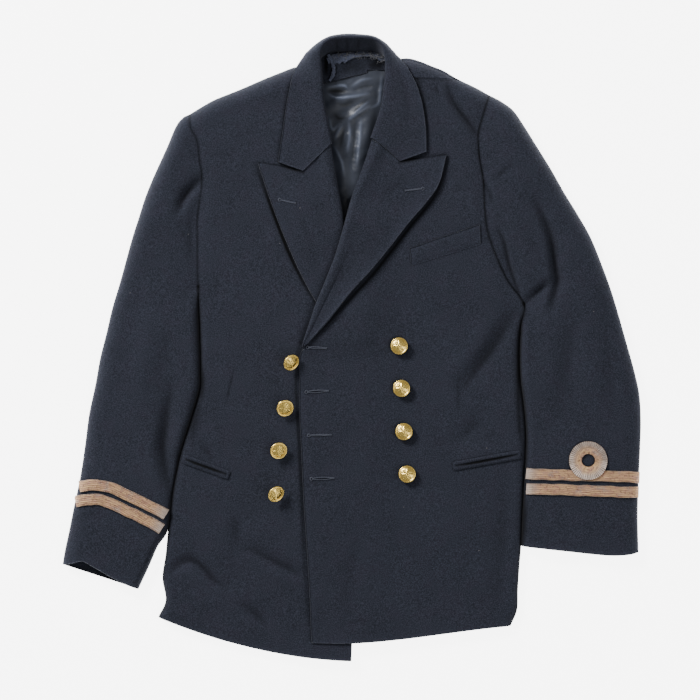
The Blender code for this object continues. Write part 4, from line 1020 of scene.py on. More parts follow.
def back():
    """The back: flat on the floor, its margins turned up, and carried over the left shoulder."""
    right = spline(body_points("side", "r"), UNDER_ROWS)
    left = spline(body_points("side", "l"), UNDER_ROWS)
    gap = side_gaps(UNDER_ROWS)
    coarse = cross(drawn_in(right, left, gap), drawn_in(left, right, gap), CURL, CURL,
                   BACK_INNER_COLUMNS, UNDER_MARGIN_STEPS)
    columns = finer(BACK_COLUMNS, BACK_COLUMN_PARTS)
    places = np.stack([np.array([np.interp(columns, range(BACK_COLUMNS), row[:, k]) for row in coarse])
                       for k in (0, 1)], axis=-1)
    top = [on_outline(point.x, point.y) for point in BACK_TOP]
    top[0], top[-1] = places[0, 0], places[0, -1]
    numbers = [point.column for point in BACK_TOP]
    top = under_shoulders(spline(top, np.interp(columns, numbers, range(len(top)))))
    follow(places, top, np.interp(UNDER_ROWS, BACK_TOP_ROWS, BACK_TOP_FADE), (columns, columns))
    last = len(BODY) - 1
    follow(places[::-1], smooth(BACK_HEM), np.interp(last - UNDER_ROWS[::-1], range(4), BACK_HEM_FADE))
    x, y = plan(places)
    right_height = floor_height(x, y, "right", SIDES["right"])
    left_height = floor_height(x, y, "left", SIDES["left"])
    grid = with_height(places, np.where(x < 0, right_height, left_height))
    inner = raised(grid)

    flap_columns = slice(FLAP_COLUMNS.start * BACK_COLUMN_PARTS,
                         (FLAP_COLUMNS.stop - 1) * BACK_COLUMN_PARTS + 1)
    flap = shoulder_flap(grid[0, flap_columns])[::-1]
    rows = len(flap)
    out = -up(normals(np.concatenate([flap, grid[:3, flap_columns]])))[:rows]
    out[..., 2] = np.abs(out[..., 2])
    flap_inner = flap - WALL * out
    flap_inner[..., 2] = np.maximum(flap_inner[..., 2], CURL)
    flap, flap_inner = under_shoulders(flap), under_shoulders(flap_inner)

    numbers = np.arange(grid[..., 0].size).reshape(grid.shape[:2])
    flap_numbers = numbers.size + np.arange(flap[..., 0].size).reshape(rows, -1)
    joined = np.vstack([flap_numbers, numbers[:1, flap_columns]])
    quads = np.vstack([grid_quads(numbers), grid_quads(joined)])
    outer = np.vstack([grid.reshape(-1, 3), flap.reshape(-1, 3)])
    inside = np.vstack([inner.reshape(-1, 3), flap_inner.reshape(-1, 3)])
    shell = Shell().add(outer, quads).add(inside, quads[:, ::-1])
    count = len(outer)
    edges = {(int(quad[k - 1]), int(quad[k])) for quad in quads for k in range(4)}
    shell.faces += [(b, a, a + count, b + count) for a, b in sorted(edges) if (b, a) not in edges]
    return cloth(shell, "back")


def under_shoulders(places):
    """Places kept on or below the line of the shoulders."""
    kept = places.copy()
    for line in (smooth(SHOULDER_R), smooth(SHOULDER_L)):
        x = kept[..., 0]
        beside = (x >= line[0, 0]) & (x <= line[-1, 0])
        highest = np.interp(x, line[:, 0], line[:, 1])
        kept[..., 1] = np.where(beside, np.minimum(kept[..., 1], highest), kept[..., 1])
    return kept


def on_outline(x, y):
    """A place moved onto the nearest point of the outline, unless it is too far from it."""
    line = OUTLINES["left" if x > 0 else "right"]
    nearest = line[np.argmin(np.hypot(line[:, 0] - x, line[:, 1] - y))]
    return tuple(nearest) if math.hypot(nearest[0] - x, nearest[1] - y) < ON_OUTLINE else (x, y)


def shoulder_flap(edge):
    """Rows from a run of the back's top edge up over the left shoulder to its seam."""
    seam_x, seam_y = np.array(SEAM_L, float).T
    seam = np.stack([edge[:, 0], np.interp(edge[:, 0], seam_x, seam_y)], axis=-1)
    places = np.array([edge[:, :2] + share * (seam - edge[:, :2]) for share in FLAP_ROWS])
    x, y = plan(places)
    pressed = FLAP_PRESS * (1 - ease((x - edge[0, 0]) / FLAP_PRESS_WIDTH))
    return with_height(places, np.maximum(front_height(x, y, "left") - pressed, FOOT + FLAP_FOOT))


def raised(grid):
    """The upper face of a piece on the floor, which ends level at the turned-up margins."""
    inner = grid + WALL * up(normals(grid))
    inner[..., 2] = np.clip(inner[..., 2], grid[..., 2], CURL)
    return inner


def sleeve_places(side, rows, outer_margin, inner_margin, columns, steps):
    """The grid of places of a sleeve piece from its outer to its inner line, and its rows."""
    rows = rows[rows <= len(SLEEVE_OUTERS[side]) - 1]
    outer = spline(SLEEVE_OUTERS[side], rows)
    inner = drawn_in(spline(SLEEVE_INNERS[side], rows), outer, side_gaps(rows))
    return cross(outer, inner, outer_margin, inner_margin, columns, steps), rows


def top_sleeve(side):
    """The sleeve's upper piece, arched from the outline to the armhole and the side."""
    places, rows = sleeve_places(side, ROWS, OUTLINE_ROUND, SIDE_ROUND, TOP_SLEEVE_COLUMNS, QUARTER_STEPS)
    edge = smooth(CUFF_R_TOP if side == "right" else CUFF_L_EDGE)
    follow(places[::-1], edge, np.interp(rows[-1] - rows[::-1], range(4), CUFF_FADE))
    grid = on_sleeve(places, side)
    return cloth(hung(grid, WALL, FOOT, ("bottom",)), f"sleeve_{side}_top")


def under_sleeve(side):
    """The sleeve's under piece: flat on the floor, its margins turned up."""
    places, rows = sleeve_places(side, UNDER_ROWS, CURL, CURL, UNDER_SLEEVE_COLUMNS, UNDER_MARGIN_STEPS)
    if side == "left":
        follow(places[::-1], smooth(CUFF_L_EDGE), (rows[-1] == rows[::-1]).astype(float))
    grid = with_height(places, floor_height(*plan(places), side, BESIDES[side]))
    return cloth(shell_of(raised(grid), grid, ("bottom",)), f"sleeve_{side}_under")


def lapel(name, table, top, side):
    """A lapel turned out on its front: from the outer edge to the roll, and round the roll's lip."""
    turns = np.array(table[::-1], float)
    rows = finer(len(turns), LAPEL_PARTS)
    flat = len(LAPEL_SPREAD)
    columns = finer(flat + len(LAPEL_ROLL), SECTION_PARTS)
    outer_x, outer_y, roll_x, roll_y, rise = spline(turns, rows).T
    outer = np.stack([outer_x, outer_y], axis=-1)
    roll = np.stack([roll_x, roll_y], axis=-1)
    width = np.linalg.norm(outer - roll, axis=1)[:, None]
    small = np.minimum(1.0, width / LAPEL_FULL_WIDTH)
    shares = np.array(LAPEL_SPREAD)
    inward = np.array([point.inward for point in LAPEL_ROLL])
    reach = spline(np.hstack([width * shares, small * inward]).T, columns).T
    places = roll[:, None] + reach[..., None] * ((outer - roll) / width)[:, None]

    roll_column = flat + len(LAPEL_ROLL) - 3
    top_line = np.array(top, float) - (0, NOTCH)
    fades = np.interp(rows, range(4), (*LAPEL_TOP_FADE, 0))
    follow(places, top_line, fades, ((*LAPEL_TOP_COLUMNS, roll_column), columns))

    free = np.minimum(1, (rows + 1) / 3) * np.minimum(1, (len(turns) - 1 - rows) / 2)
    lifted = WALL + LIE + LAPEL_LIFT[name] * free[:, None] * shares ** 4
    rolled = np.array([point.height for point in LAPEL_ROLL])
    rolled = rolled + np.array([point.share for point in LAPEL_ROLL]) * rise[:, None]
    height = spline(np.hstack([lifted, rolled]).T, columns).T
    x, y = plan(places)
    height = height + creased(x, y, name)
    grid = with_height(places, front_height(x, y, side) + height)
    inner = grid - WALL * up(normals(grid), (flat - 1) * SECTION_PARTS)
    return cloth(shell_of(grid, inner, ("first",)), name)


def collar():
    """The collar: stand, roll and fall in one shell round the neck."""
    stations = spline(COLLAR, finer(len(COLLAR), COLLAR_PARTS))
    columns = finer(len(COLLAR_SECTION), SECTION_PARTS)
    section = spline(COLLAR_SECTION, columns)
    roll, edge = stations[:, 0:2], stations[:, 2:4]
    foot, bend = stations[:, 4:5], np.clip(stations[:, 5:6], 0, 1)
    width = np.linalg.norm(edge - roll, axis=1)[:, None]
    outward = (edge - roll) / width
    forms = (np.maximum(1 - 2 * bend, 0), 1 - np.abs(2 * bend - 1), np.maximum(2 * bend - 1, 0))
    out = sum(form * (section[:, k] * width + section[:, k + 1]) for form, k in zip(forms, (1, 4, 7)))
    places = roll[:, None] + (section[:, 0] * foot + out)[..., None] * outward[:, None]
    x, y = places[..., 0], np.minimum(places[..., 1], COLLAR_SUPPORT_Y)
    middle = stations[:, :1] > 0
    support = np.where(middle, front_height(x, y, "left"), front_height(x, y, "right"))
    height = sum(form * section[:, k] for form, k in zip(forms, (3, 6, 9))) + forms[0] * support
    height = height + creased(*plan(places), "collar")
    fades = np.interp(np.arange(len(stations)) / COLLAR_PARTS, range(3), (*COLLAR_END_FADE, 0))
    for end, line in ((places, COLLAR_R_END), (places[::-1], COLLAR_L_END)):
        known = np.array(line, float)[::-1] + (0, NOTCH)
        follow(end, known, fades, (COLLAR_END_COLUMNS[::-1], columns))
    grid = with_height(places, height)
    inner = grid - WALL * up(normals(grid), COLLAR_FACE * SECTION_PARTS)
    inner[..., 2] = np.maximum(inner[..., 2], 0.0)
    return cloth(shell_of(grid, inner, ("last",)), "collar")


def lining():
    """The back's satin lining, rumpled where it shows in the neck."""
    x, y = np.meshgrid(np.linspace(*LINING_ACROSS), np.linspace(*LINING_DOWN))
    x = x * (1 - LINING_TAPER * ease((LINING_TAPER_TOP - y) / LINING_TAPER_LENGTH))
    height = WALL + LIE + SATIN + np.maximum(folded(x, y, "lining_back"), 0)
    rumples = creased(x, y, "lining_back") + uneven(x, y, 11, SATIN_WAVES)
    height = height + np.maximum(rumples, LINING_LOWEST)
    shell = hung(np.dstack([x, y, height]), SATIN)
    return shell.piece("lining_back_cloth", satin(), "satin", "lining_back")


# The neck inside the collar: the foot of the facing, the frayed band over it and the hanging loop
FACING_TOP = ((-47, 362), (-39, 370.5), (-26, 375), (4, 376), (32, 375), (43, 369.5), (50, 362))
FACING_FOOT = ((-47, 330), (-22, 333), (-10, 337), (17.5, 343.5), (21, 347.5), (34, 347.5), (50, 347.5))
FRAYED_BAND = ((-30, 360), (-20, 364), (-8, 365.5), (4, 366), (14, 367.5), (24, 367), (34, 364), (42, 360))
LOOP = ((-28.5, 366.5), (-24, 358), (-21.6, 349), (-22.5, 341), (-27, 333.5))
FACING_CLOTH = 1.0
FACING_ROWS = 36
FACING_COLUMNS = 72
FACING_LIFT = 1.6  # above the lining
FACING_RISE = 0.9  # and more towards the collar
FACING_DIP = 3.6  # down behind the collar's foot
BAND_WIDTH = 6.5
BAND_WIDENED = 0.9  # the band's first half is wider by this share
LOOP_WIDTH = 3.8
RIBBON_RUNS = 90
RIBBON_COLUMNS = 12
FRAY_THREADS = 150
FRAY_LEFT, FRAY_RIGHT, FRAY_TOP = -38, 42, 371  # the loose ends stay inside these


def facing_height(x, y):
    """Height of the upper face of the neck facing, which rises from the lining to the collar and
    dips behind its foot, but not at the sides."""
    behind = ease((y - 364) / 8) * (1 - ease((np.abs(x - 4) - 24) / 8))
    return WALL + SATIN + LIE + FACING_LIFT + FACING_RISE * ease((y - 350) / 20) - FACING_DIP * behind


def neck_facing():
    """The wool facing between the lining and the foot of the collar."""
    shares = np.linspace(0, 1, FACING_COLUMNS)
    top, foot = along(smooth(FACING_TOP), shares), along(smooth(FACING_FOOT), shares)
    places = top + np.linspace(0, 1, FACING_ROWS)[:, None, None] * (foot - top)
    x, y = plan(places)
    height = facing_height(x, y) + creased(x, y, "neck_facing") + uneven(x, y, 31, (Waves(14, 0.35),))
    shell = hung(with_height(places, height), FACING_CLOTH, 0.2, ("bottom",))
    return shell.piece("neck_facing", wool(), "wool")


def ribbon(name, line, width, thickness, lift, seed, widened=0.0):
    """A narrow band that lies on the neck facing along a line, with a wavy edge. It may be wider in
    its first half, by a share of its width."""
    middle = along(smooth(line), np.linspace(0, 1, RIBBON_RUNS))
    run = np.gradient(middle, axis=0)
    side = run[:, ::-1] * (-1, 1) / np.linalg.norm(run, axis=1)[:, None]
    shifts = np.linspace(-0.5, 0.5, RIBBON_COLUMNS)[:, None]
    wide = width * (1 + uneven(middle[:, 0], middle[:, 1], seed, (Waves(9, 0.13), Waves(4, 0.08))))
    share = np.linspace(0, 1, len(middle))
    wide *= 1 + widened * ease(share / 0.12) * ease((0.5 - share) / 0.2)
    drop = 0.25 * widened * ease((0.5 - share) / 0.2)
    places = middle + ((shifts - drop) * wide)[..., None] * side
    x, y = plan(places)
    height = facing_height(x, y) + lift + 0.4 * np.cos(math.pi * shifts)
    height = height + uneven(x, y, seed + 1, (Waves(7, 0.3), Waves(3, 0.12)))
    shell = hung(with_height(places, height), thickness, None, ("top", "bottom"))
    return shell.piece(name, facing(), "wool")


def fray():
    """The loose ends of the band's threads, thickest at its right end."""
    draws = np.random.default_rng(17)
    middle = smooth(FRAYED_BAND)
    shell = Shell()
    for _ in range(FRAY_THREADS):
        spot = along(middle, [draws.beta(1.6, 0.9)])[0] + draws.normal(0, (1.5, 2.6))
        turn, bend = draws.uniform(0, 2 * math.pi), draws.uniform(-1.6, 1.6)
        steps = np.linspace(0, 1, 6)[:, None]
        way = np.hstack([np.cos(turn + bend * steps), np.sin(turn + bend * steps)])
        line = spot + way * steps * draws.uniform(1.5, 5.5)
        x, y = np.clip(line[:, 0], FRAY_LEFT, FRAY_RIGHT), np.minimum(line[:, 1], FRAY_TOP)
        height = facing_height(x, y) + 1.5 + 0.5 * np.sin(3 * steps[:, 0]) * draws.uniform(0.2, 1)
        shell.add(*tube(np.column_stack([x, y, height]), draws.uniform(0.10, 0.2), 4))
    return shell.piece("neck_fray", frayed(), "wool")


def cloth(shell, node):
    """A piece of the wool that stands for its node."""
    return shell.piece(f"{node}_cloth", wool(), "wool", node)


# ---------------- lace, pockets and buttons

LACE_RIBS = 6  # raised ribs that run along the lace
LACE_RIB_HEIGHT = 0.16
LACE_COLUMNS = 150
LACE_MARGIN_STEPS = 14
LACE_ROWS = 25
LACE_START = 0.6  # where the lace begins, from the end of its line
LACE_SHORT = 3.6  # how much shorter than its line it is
CURL_RIBS = 56  # radial ribs of the loop
CURL_TURNS = 180
CURL_ROWS = 22
CURL_STRIPE_Y = -160.0  # the middle of the stripe that the loop stands on


def lace(stripe):
    """A stripe of lace over the top sleeve, from its outer edge to its inner one."""
    line = smooth(stripe.line, 6)
    length = np.linalg.norm(np.diff(line, axis=0), axis=1).sum()
    shares = spread(length, OUTLINE_ROUND, SIDE_ROUND, LACE_COLUMNS, LACE_MARGIN_STEPS) / length
    shares = (LACE_START + shares * (length - LACE_SHORT)) / length
    middle = along(line, shares)
    across = np.gradient(middle, axis=0)
    across = across[:, ::-1] * (-1, 1)
    across /= np.linalg.norm(across, axis=1)[:, None]
    shifts = np.linspace(-0.5, 0.5, LACE_ROWS)
    wobble = uneven(shares * length, shares * 0, int(abs(line[0, 1])), (Waves(22, 0.35),))
    places = middle + across * (LACE_WIDTH * shifts[:, None] + wobble)[..., None]
    grid = on_sleeve(places, stripe.side)
    ribs = LACE_RIB_HEIGHT * np.cos(2 * math.pi * LACE_RIBS * (shifts + 0.5))[:, None]
    grid[..., 2] += ribs + uneven(*plan(places), 21, (Waves(9, 0.12),))
    ways = np.dstack([np.broadcast_to((1 - shares) * length, grid.shape[:2]),
                      np.broadcast_to(shifts[:, None] * LACE_WIDTH, grid.shape[:2])])
    shell = laid(grid, LACE_LIE, LACE, ("top", "bottom"), ways)
    return shell.piece(f"{stripe.name}_braid", gold_lace(), "gold_lace", stripe.name)


def curl_ring():
    """The round loop of lace that stands on the left cuff's upper stripe."""
    turns = np.linspace(0, 2 * math.pi, CURL_TURNS, endpoint=False)
    radii = np.linspace(CURL_OUTER, CURL_INNER, CURL_ROWS)
    ring = np.stack([np.cos(turns), np.sin(turns)], axis=-1)
    places = np.array(CURL_CENTRE) + radii[:, None, None] * ring
    x, y = plan(places)
    stripe_top = CURL_STRIPE_Y + LACE_WIDTH / 2
    over = ease((stripe_top + 8 - y) / 7)
    share = (CURL_OUTER - radii) / (CURL_OUTER - CURL_INNER)
    outer_half = ease((0.55 - share) / 0.1)[:, None]
    ribs = (0.08 + 0.25 * outer_half) * np.cos(turns * CURL_RIBS) + 0.35 * np.sin(math.pi * share)[:, None]
    height = sleeve_height(x, y, "left") + (LACE + LIE) * over + ribs
    ways = np.dstack([np.broadcast_to(turns * CURL_OUTER, x.shape),
                      np.broadcast_to(radii[:, None], x.shape)])
    shell = laid(with_height(places, height), LACE_LIE, LACE, (), ways, loop=True)
    return shell.piece("curl_left_braid", curl_lace(), "gold_lace", "curl_left")


WELT_LENGTH = 92.0
WELT_DEPTH = 25.0
WELT_COLUMNS = 60
WELT_ROWS = 22
END_STITCH = 2.2  # how far in from the welt's ends and top the stitched grooves lie
TOP_STITCH = 2.4


def welt():
    """The breast pocket's welt, with its fold along the top and stitched grooves along its top and ends."""
    top_left, top_right, low_right, low_left = np.array(WELT, float)
    shares = np.linspace(0, 1, WELT_COLUMNS)[:, None]
    top = top_left + shares * (top_right - top_left)
    low = low_left + shares * (low_right - low_left)
    downs = np.linspace(0, 1, WELT_ROWS)
    places = top[None] + downs[:, None, None] * (low - top)[None]
    grid = on_front(places, "left")
    along_share = np.broadcast_to(shares[:, 0], grid.shape[:2])
    down_share = np.broadcast_to(downs[:, None], grid.shape[:2])
    from_end = np.minimum(along_share, 1 - along_share) * WELT_LENGTH
    from_top = down_share * WELT_DEPTH
    groove = -0.55 * np.exp(-((from_end - END_STITCH) / 0.9) ** 2)
    groove = groove - 0.4 * np.exp(-((from_top - TOP_STITCH) / 1.0) ** 2)
    ends_down = ease((down_share - 0.8) / 0.2)
    grid[..., 2] += groove + 0.3 * np.sin(math.pi * down_share) - 0.6 - 0.7 * ends_down
    shell = laid(grid, LIE, PATCH, ("top", "first", "last"))
    return cloth(shell, "breast_welt")


JET_COLUMNS = 60
JET_ROWS = 12
BED_ROWS = 5  # rows of the bed between the jets, up to the slit's middle, painted dark as the slit's shadow
JET_OVERRUN = 2.0  # how far the jets run past the slit's ends


def jets(jet):
    """The two jets of a hip pocket as one frame round its slit, closed by a sunk bed that is painted
    dark as the shadow in the slit.
    """
    start = np.array([jet.start_x, jet.start_y], float)
    stop = np.array([jet.end_x, jet.end_y], float)
    run = (stop - start) / np.linalg.norm(stop - start)
    side = np.array([-run[1], run[0]])
    count = JET_COLUMNS
    shares = np.linspace(0, 1, count)
    middle = np.array([start + share * (stop - start) for share in np.r_[shares, shares[::-1]]])
    way = np.r_[np.ones(count), -np.ones(count)][:, None]
    reach = np.zeros((2 * count, 1))
    reach[[0, -1]] = -1
    reach[[count - 1, count]] = 1
    slit = middle + way * side * JET_SLIT
    middle_share = JET_WIDTH / (JET_WIDTH - JET_SLIT)
    outer = middle + way * side * JET_WIDTH + reach * run * JET_OVERRUN
    across = np.r_[np.linspace(0, 1, JET_ROWS), np.linspace(1, middle_share, BED_ROWS)[1:]]
    across = across[:, None, None]
    places = outer + across * (slit - outer)
    grid = on_front(places, jet.side)
    rise = np.minimum(across[..., 0], 1)
    grid[..., 2] += 0.7 * np.sin(math.pi * rise) - 0.5 - 0.6 * (across[..., 0] > 1)
    shell = laid(grid, LACE_LIE, PATCH, loop=True)
    return cloth(shell, jet.name)


BUTTON_TURNS = 72
FOOT_TURNS = 12
FACE_MIDDLE = 2.5  # the button's place is that of its axis at this height over the shank
ROPE_STRANDS = 34
ROPE_RADIUS = 10.9
ROPE_HEIGHT = 0.22
STAR_POINTS = 8
STAR_HEIGHT = 0.45
STAR_INNER = 2.9  # radius between the star's points
STAR_REACH = 5.4  # and how much further its points reach
FIELD_RADIUS = 9.2  # inside this the ground between the points is sunk
FIELD_DEPTH = 0.25
BOSS_RADIUS = 1.9  # the ring round the star's middle
BOSS_HEIGHT = 0.3
# Face of a button from its rim to its middle: radius and height above the back plate
BUTTON_FACE = ((11.7, 1.4), (11.75, 2.1), (11.3, 2.75), (10.6, 2.95), (9.9, 2.7), (9.5, 2.35), (9.0, 2.5),
               (7.5, 3.3), (5.5, 4.1), (3.5, 4.7), (1.6, 5.05), (0.25, 5.2))
BUTTON_BACK = ((9.6, 0.0), (11.2, 0.5))
BUTTON_SIZE = 0.92  # the button is drawn at this share of its radii


def button(spec):
    """A domed gilt button with a rope edge and an eight-pointed star, on its shank."""
    lean = math.radians(spec.lean)
    towards = math.radians(spec.towards)
    ahead = np.array([math.cos(towards), math.sin(towards), 0.0])
    side = np.array([-math.sin(towards), math.cos(towards), 0.0])
    axis = math.sin(lean) * ahead + np.array([0.0, 0.0, math.cos(lean)])
    other = np.cross(axis, side)
    base = np.array([spec.x, spec.y]) - axis[:2] * (spec.shank + FACE_MIDDLE)
    foot_turns = 2 * math.pi * np.arange(FOOT_TURNS) / FOOT_TURNS
    ring = np.stack([np.cos(foot_turns), np.sin(foot_turns)], axis=-1) * SHANK_RADIUS + base
    ground = front_height(ring[:, 0], ring[:, 1], spec.side).max()
    foot = np.array([*base, ground + LIE + SHANK_RADIUS * math.sin(lean)])

    turns = 2 * math.pi * np.arange(BUTTON_TURNS) / BUTTON_TURNS
    spokes = np.cos(turns)[:, None] * side + np.sin(turns)[:, None] * other
    profile = np.vstack([
        [(SHANK_RADIUS, 0.0), (SHANK_RADIUS * 0.7, spec.shank * 0.5), (SHANK_RADIUS, spec.shank)],
        np.array(BUTTON_BACK) + (0, spec.shank),
        smooth(BUTTON_FACE, 3) + (0, spec.shank)])
    radius = np.broadcast_to(profile[:, :1], (len(profile), BUTTON_TURNS)).copy()
    height = np.broadcast_to(profile[:, 1:], radius.shape).copy()
    face = np.arange(len(profile)) >= 5
    rope = np.exp(-((radius - ROPE_RADIUS) / 0.9) ** 2) * face[:, None]
    height += ROPE_HEIGHT * rope * np.cos(turns * ROPE_STRANDS + radius * 1.6)
    point = np.abs(((turns * STAR_POINTS / (2 * math.pi)) % 1) - 0.5) * 2
    reach = STAR_INNER + STAR_REACH * point ** 1.6
    star = ease((reach - radius) / 0.8) * face[:, None]
    field = (radius < FIELD_RADIUS) * face[:, None]
    height += STAR_HEIGHT * star * (0.6 + 0.4 * point) - FIELD_DEPTH * field * (1 - star)
    height += BOSS_HEIGHT * np.exp(-((radius - BOSS_RADIUS) / 0.6) ** 2) * face[:, None]
    radius *= BUTTON_SIZE
    points = foot + axis * height[..., None] + radius[..., None] * spokes[None]
    points = np.vstack([points.reshape(-1, 3), foot[None], (foot + axis * height[-1].mean())[None]])
    numbers = np.arange(radius.size).reshape(radius.shape)
    faces = grid_quads(numbers, loop=True)[:, ::-1].tolist()
    for k in range(BUTTON_TURNS):
        n = (k + 1) % BUTTON_TURNS
        faces.append((int(numbers[0, k]), int(numbers[0, n]), radius.size))
        faces.append((int(numbers[-1, n]), int(numbers[-1, k]), radius.size + 1))
    shell = Shell().add(points, faces)
    return shell.piece(f"{spec.name}_star", gilt(), "gilt", spec.name, 50.0)


# ---------------- stitching and small pieces

# Worked buttonholes: the piece that each is cut in, its eye end, its bar end and how far it gapes
Hole = namedtuple("Hole", "name piece eye_x eye_y bar_x bar_y open_by")
HOLES = table(Hole, (
    ("hole_lapel_right", "lapel_right", -90, 184.4, -69.4, 179.7, 0.0),
    ("hole_lapel_left", "lapel_left", 90.8, 198.1, 67.5, 195.6, 0.0),
    ("hole_left_1", "front_left", -55.2, 0.1, -30.6, -1.0, 0.5),
    ("hole_left_2", "front_left", -56.9, -55.6, -28.2, -54.1, 0.9),
    ("hole_left_3", "front_left", -53.8, -109.9, -25.0, -109.1, 0.3),
    ("hole_left_4", "front_left", -50.5, -164.1, -21.4, -163.1, 0.9),
))
STITCH_PITCH = 0.75
STITCH_REACH = 1.05
THREAD = 0.3  # radius of the thread
LIP_GAP = 0.35  # half of the gap between the lips of a closed hole
EYE_RADIUS = 1.6
EYE_IN = 1.4  # how far in from the hole's end the eye's middle lies
EYE_STITCHES = 14
LIP_START = 2.2
BAR_HALF = 1.3
BAR_SHIFT = 0.35  # the bar's two threads lie this far to either side of its line


def surface_height(piece, x, y):
    """Height of the outer face that a small piece lies on."""
    side = piece.split("_")[-1]
    if piece.startswith("sleeve"):
        return sleeve_height(x, y, side)
    height = front_height(x, y, side)
    if piece.startswith("lapel"):
        height = height + WALL + LIE + 0.25 * LAPEL_LIFT[piece] + creased(x, y, piece)
    return height


def buttonhole(hole):
    """A worked buttonhole: stitches side by side along both lips, round the eye and over the bar."""
    eye = np.array([hole.eye_x, hole.eye_y])
    bar = np.array([hole.bar_x, hole.bar_y])
    run = (bar - eye) / np.linalg.norm(bar - eye)
    side = np.array([-run[1], run[0]])
    length = np.linalg.norm(bar - eye)
    gap = LIP_GAP + hole.open_by
    lip = np.arange(LIP_START, length, STITCH_PITCH)
    turns = np.linspace(0.35 * math.pi, 1.65 * math.pi, EYE_STITCHES)
    shell = Shell()
    draws = np.random.default_rng(int(abs(hole.eye_y)) + 3)
    spine = [eye + run * EYE_IN + EYE_RADIUS * (run * math.cos(a) + side * math.sin(a)) for a in turns]
    upper = [eye + run * d + side * gap * math.sin(math.pi * d / length) for d in lip]
    lower = [eye + run * d - side * gap * math.sin(math.pi * d / length) for d in lip]
    path = np.array([*upper[::-1], *spine, *lower])
    out = np.gradient(path, axis=0)
    out = out[:, ::-1] * (1, -1)
    out /= np.linalg.norm(out, axis=1)[:, None]
    lift = THREAD + 0.15
    edge = np.column_stack([path, surface_height(hole.piece, path[:, 0], path[:, 1]) + lift + 0.25])
    shell.add(*tube(edge, THREAD * 1.35, 6))
    for start, way in zip(path, out):
        reach = STITCH_REACH * draws.uniform(0.75, 1.25)
        shares = np.array([0.0, 0.5, 1.0])[:, None]
        line = start + shares * way * reach
        z = surface_height(hole.piece, line[:, 0], line[:, 1]) + lift * np.array([1.3, 1.1, 0.2])
        shell.add(*tube(np.column_stack([line, z]), THREAD, 4))
    ends = bar + side * np.linspace(-BAR_HALF, BAR_HALF, 5)[:, None]
    z = surface_height(hole.piece, ends[:, 0], ends[:, 1]) + lift + 0.2
    for shift in (-BAR_SHIFT, BAR_SHIFT):
        shell.add(*tube(np.column_stack([ends + run * shift, z]), THREAD * 1.2, 5))
    return shell.piece(hole.name, thread(), "wool")


# ---------------- finishes

class Paint:
    """One material's node graph, built step by step round its Principled shader."""

    def __init__(self, name, **sockets):
        self.made = bpy.data.materials.new(name)
        self.made.use_nodes = True
        self.nodes = self.made.node_tree.nodes
        self.links = self.made.node_tree.links
        self.shader = self.nodes["Principled BSDF"]
        for socket, value in sockets.items():
            self.shader.inputs[socket.replace("_", " ")].default_value = value

    def node(self, kind, inputs=None, **settings):
        node = self.nodes.new(kind)
        for name, value in settings.items():
            setattr(node, name, value)
        for key, value in (inputs or {}).items():
            self.set(node.inputs[key], value)
        return node

    def set(self, socket, value):
        if isinstance(value, bpy.types.NodeSocket):
            self.links.new(value, socket)
        else:
            socket.default_value = value

    def to_shader(self, name, value):
        self.set(self.shader.inputs[name], value)

    def place(self, turn=(0, 0, 0)):
        """Places on the object in metres, turned."""
        spot = self.node("ShaderNodeTexCoord").outputs["Object"]
        return self.node("ShaderNodeMapping", {"Vector": spot, "Rotation": turn}).outputs[0]

    def ways(self, scale=(1, 1, 1)):
        """Places along and across the piece in metres, scaled."""
        spot = self.node("ShaderNodeUVMap", uv_map="ways").outputs[0]
        return self.node("ShaderNodeMapping", {"Vector": spot, "Scale": scale}).outputs[0]

    def measure(self, name):
        """A measure that the piece's points hold: 'edge', how near a free edge is, where the cloth is paler
        from wear and a painted highlight, or the shade painted into its creases, seams and hollows.
        """
        return self.node("ShaderNodeAttribute", attribute_name=name).outputs["Fac"]

    def noise(self, vector, scale, detail=2.0, rough=0.5):
        made = self.node("ShaderNodeTexNoise", {
            "Vector": vector, "Scale": scale, "Detail": detail, "Roughness": rough})
        return made.outputs["Fac"]

    def wave(self, vector, scale, distortion=0.0, direction="X", detail_scale=1.0):
        made = self.node("ShaderNodeTexWave", {
            "Vector": vector, "Scale": scale, "Distortion": distortion, "Detail Scale": detail_scale},
            bands_direction=direction)
        return made.outputs["Fac"]

    def ramp(self, value, *stops):
        """A colour or grey by value, from pairs of place and colour or grey."""
        made = self.node("ShaderNodeValToRGB", {"Fac": value})
        band = made.color_ramp
        while len(band.elements) < len(stops):
            band.elements.new(0.5)
        for element, (place, colour) in zip(band.elements, stops):
            element.position = place
            element.color = (*colour, 1) if hasattr(colour, "__len__") else (colour, colour, colour, 1)
        return made.outputs[0]

    def mix(self, factor, first, second):
        made = self.node("ShaderNodeMix", {0: factor}, data_type="RGBA")
        self.set(made.inputs[6], first)
        self.set(made.inputs[7], second)
        return made.outputs[2]

    def math(self, operation, first, second=0.0):
        return self.node("ShaderNodeMath", {0: first, 1: second}, operation=operation).outputs[0]

    def hollows(self, reach, share):
        """How much shade to paint in a fold or under an edge, by how deep the place lies, up to the given
        share.
        """
        open_sky = self.node("ShaderNodeAmbientOcclusion", {"Distance": reach}, samples=8).outputs["AO"]
        return self.ramp(open_sky, (0.30, share), (0.62, 0.35 * share), (0.90, 0))

    def bump(self, height, depth, strength=1.0, normal=None):
        inputs = {"Height": height, "Distance": depth, "Strength": strength}
        if normal is not None:
            inputs["Normal"] = normal
        return self.node("ShaderNodeBump", inputs).outputs[0]


def look():
    """The colours and finish that the user has set."""
    return bpy.context.scene.jacket_look


def rgba(colour):
    """A colour with full cover."""
    return (*colour[:3], 1.0)


def shade(colour, factor):
    """A colour made darker or lighter."""
    return tuple(min(1.0, part * factor) for part in colour[:3]) + (1.0,)


WOOL_GLOSS = 0.12


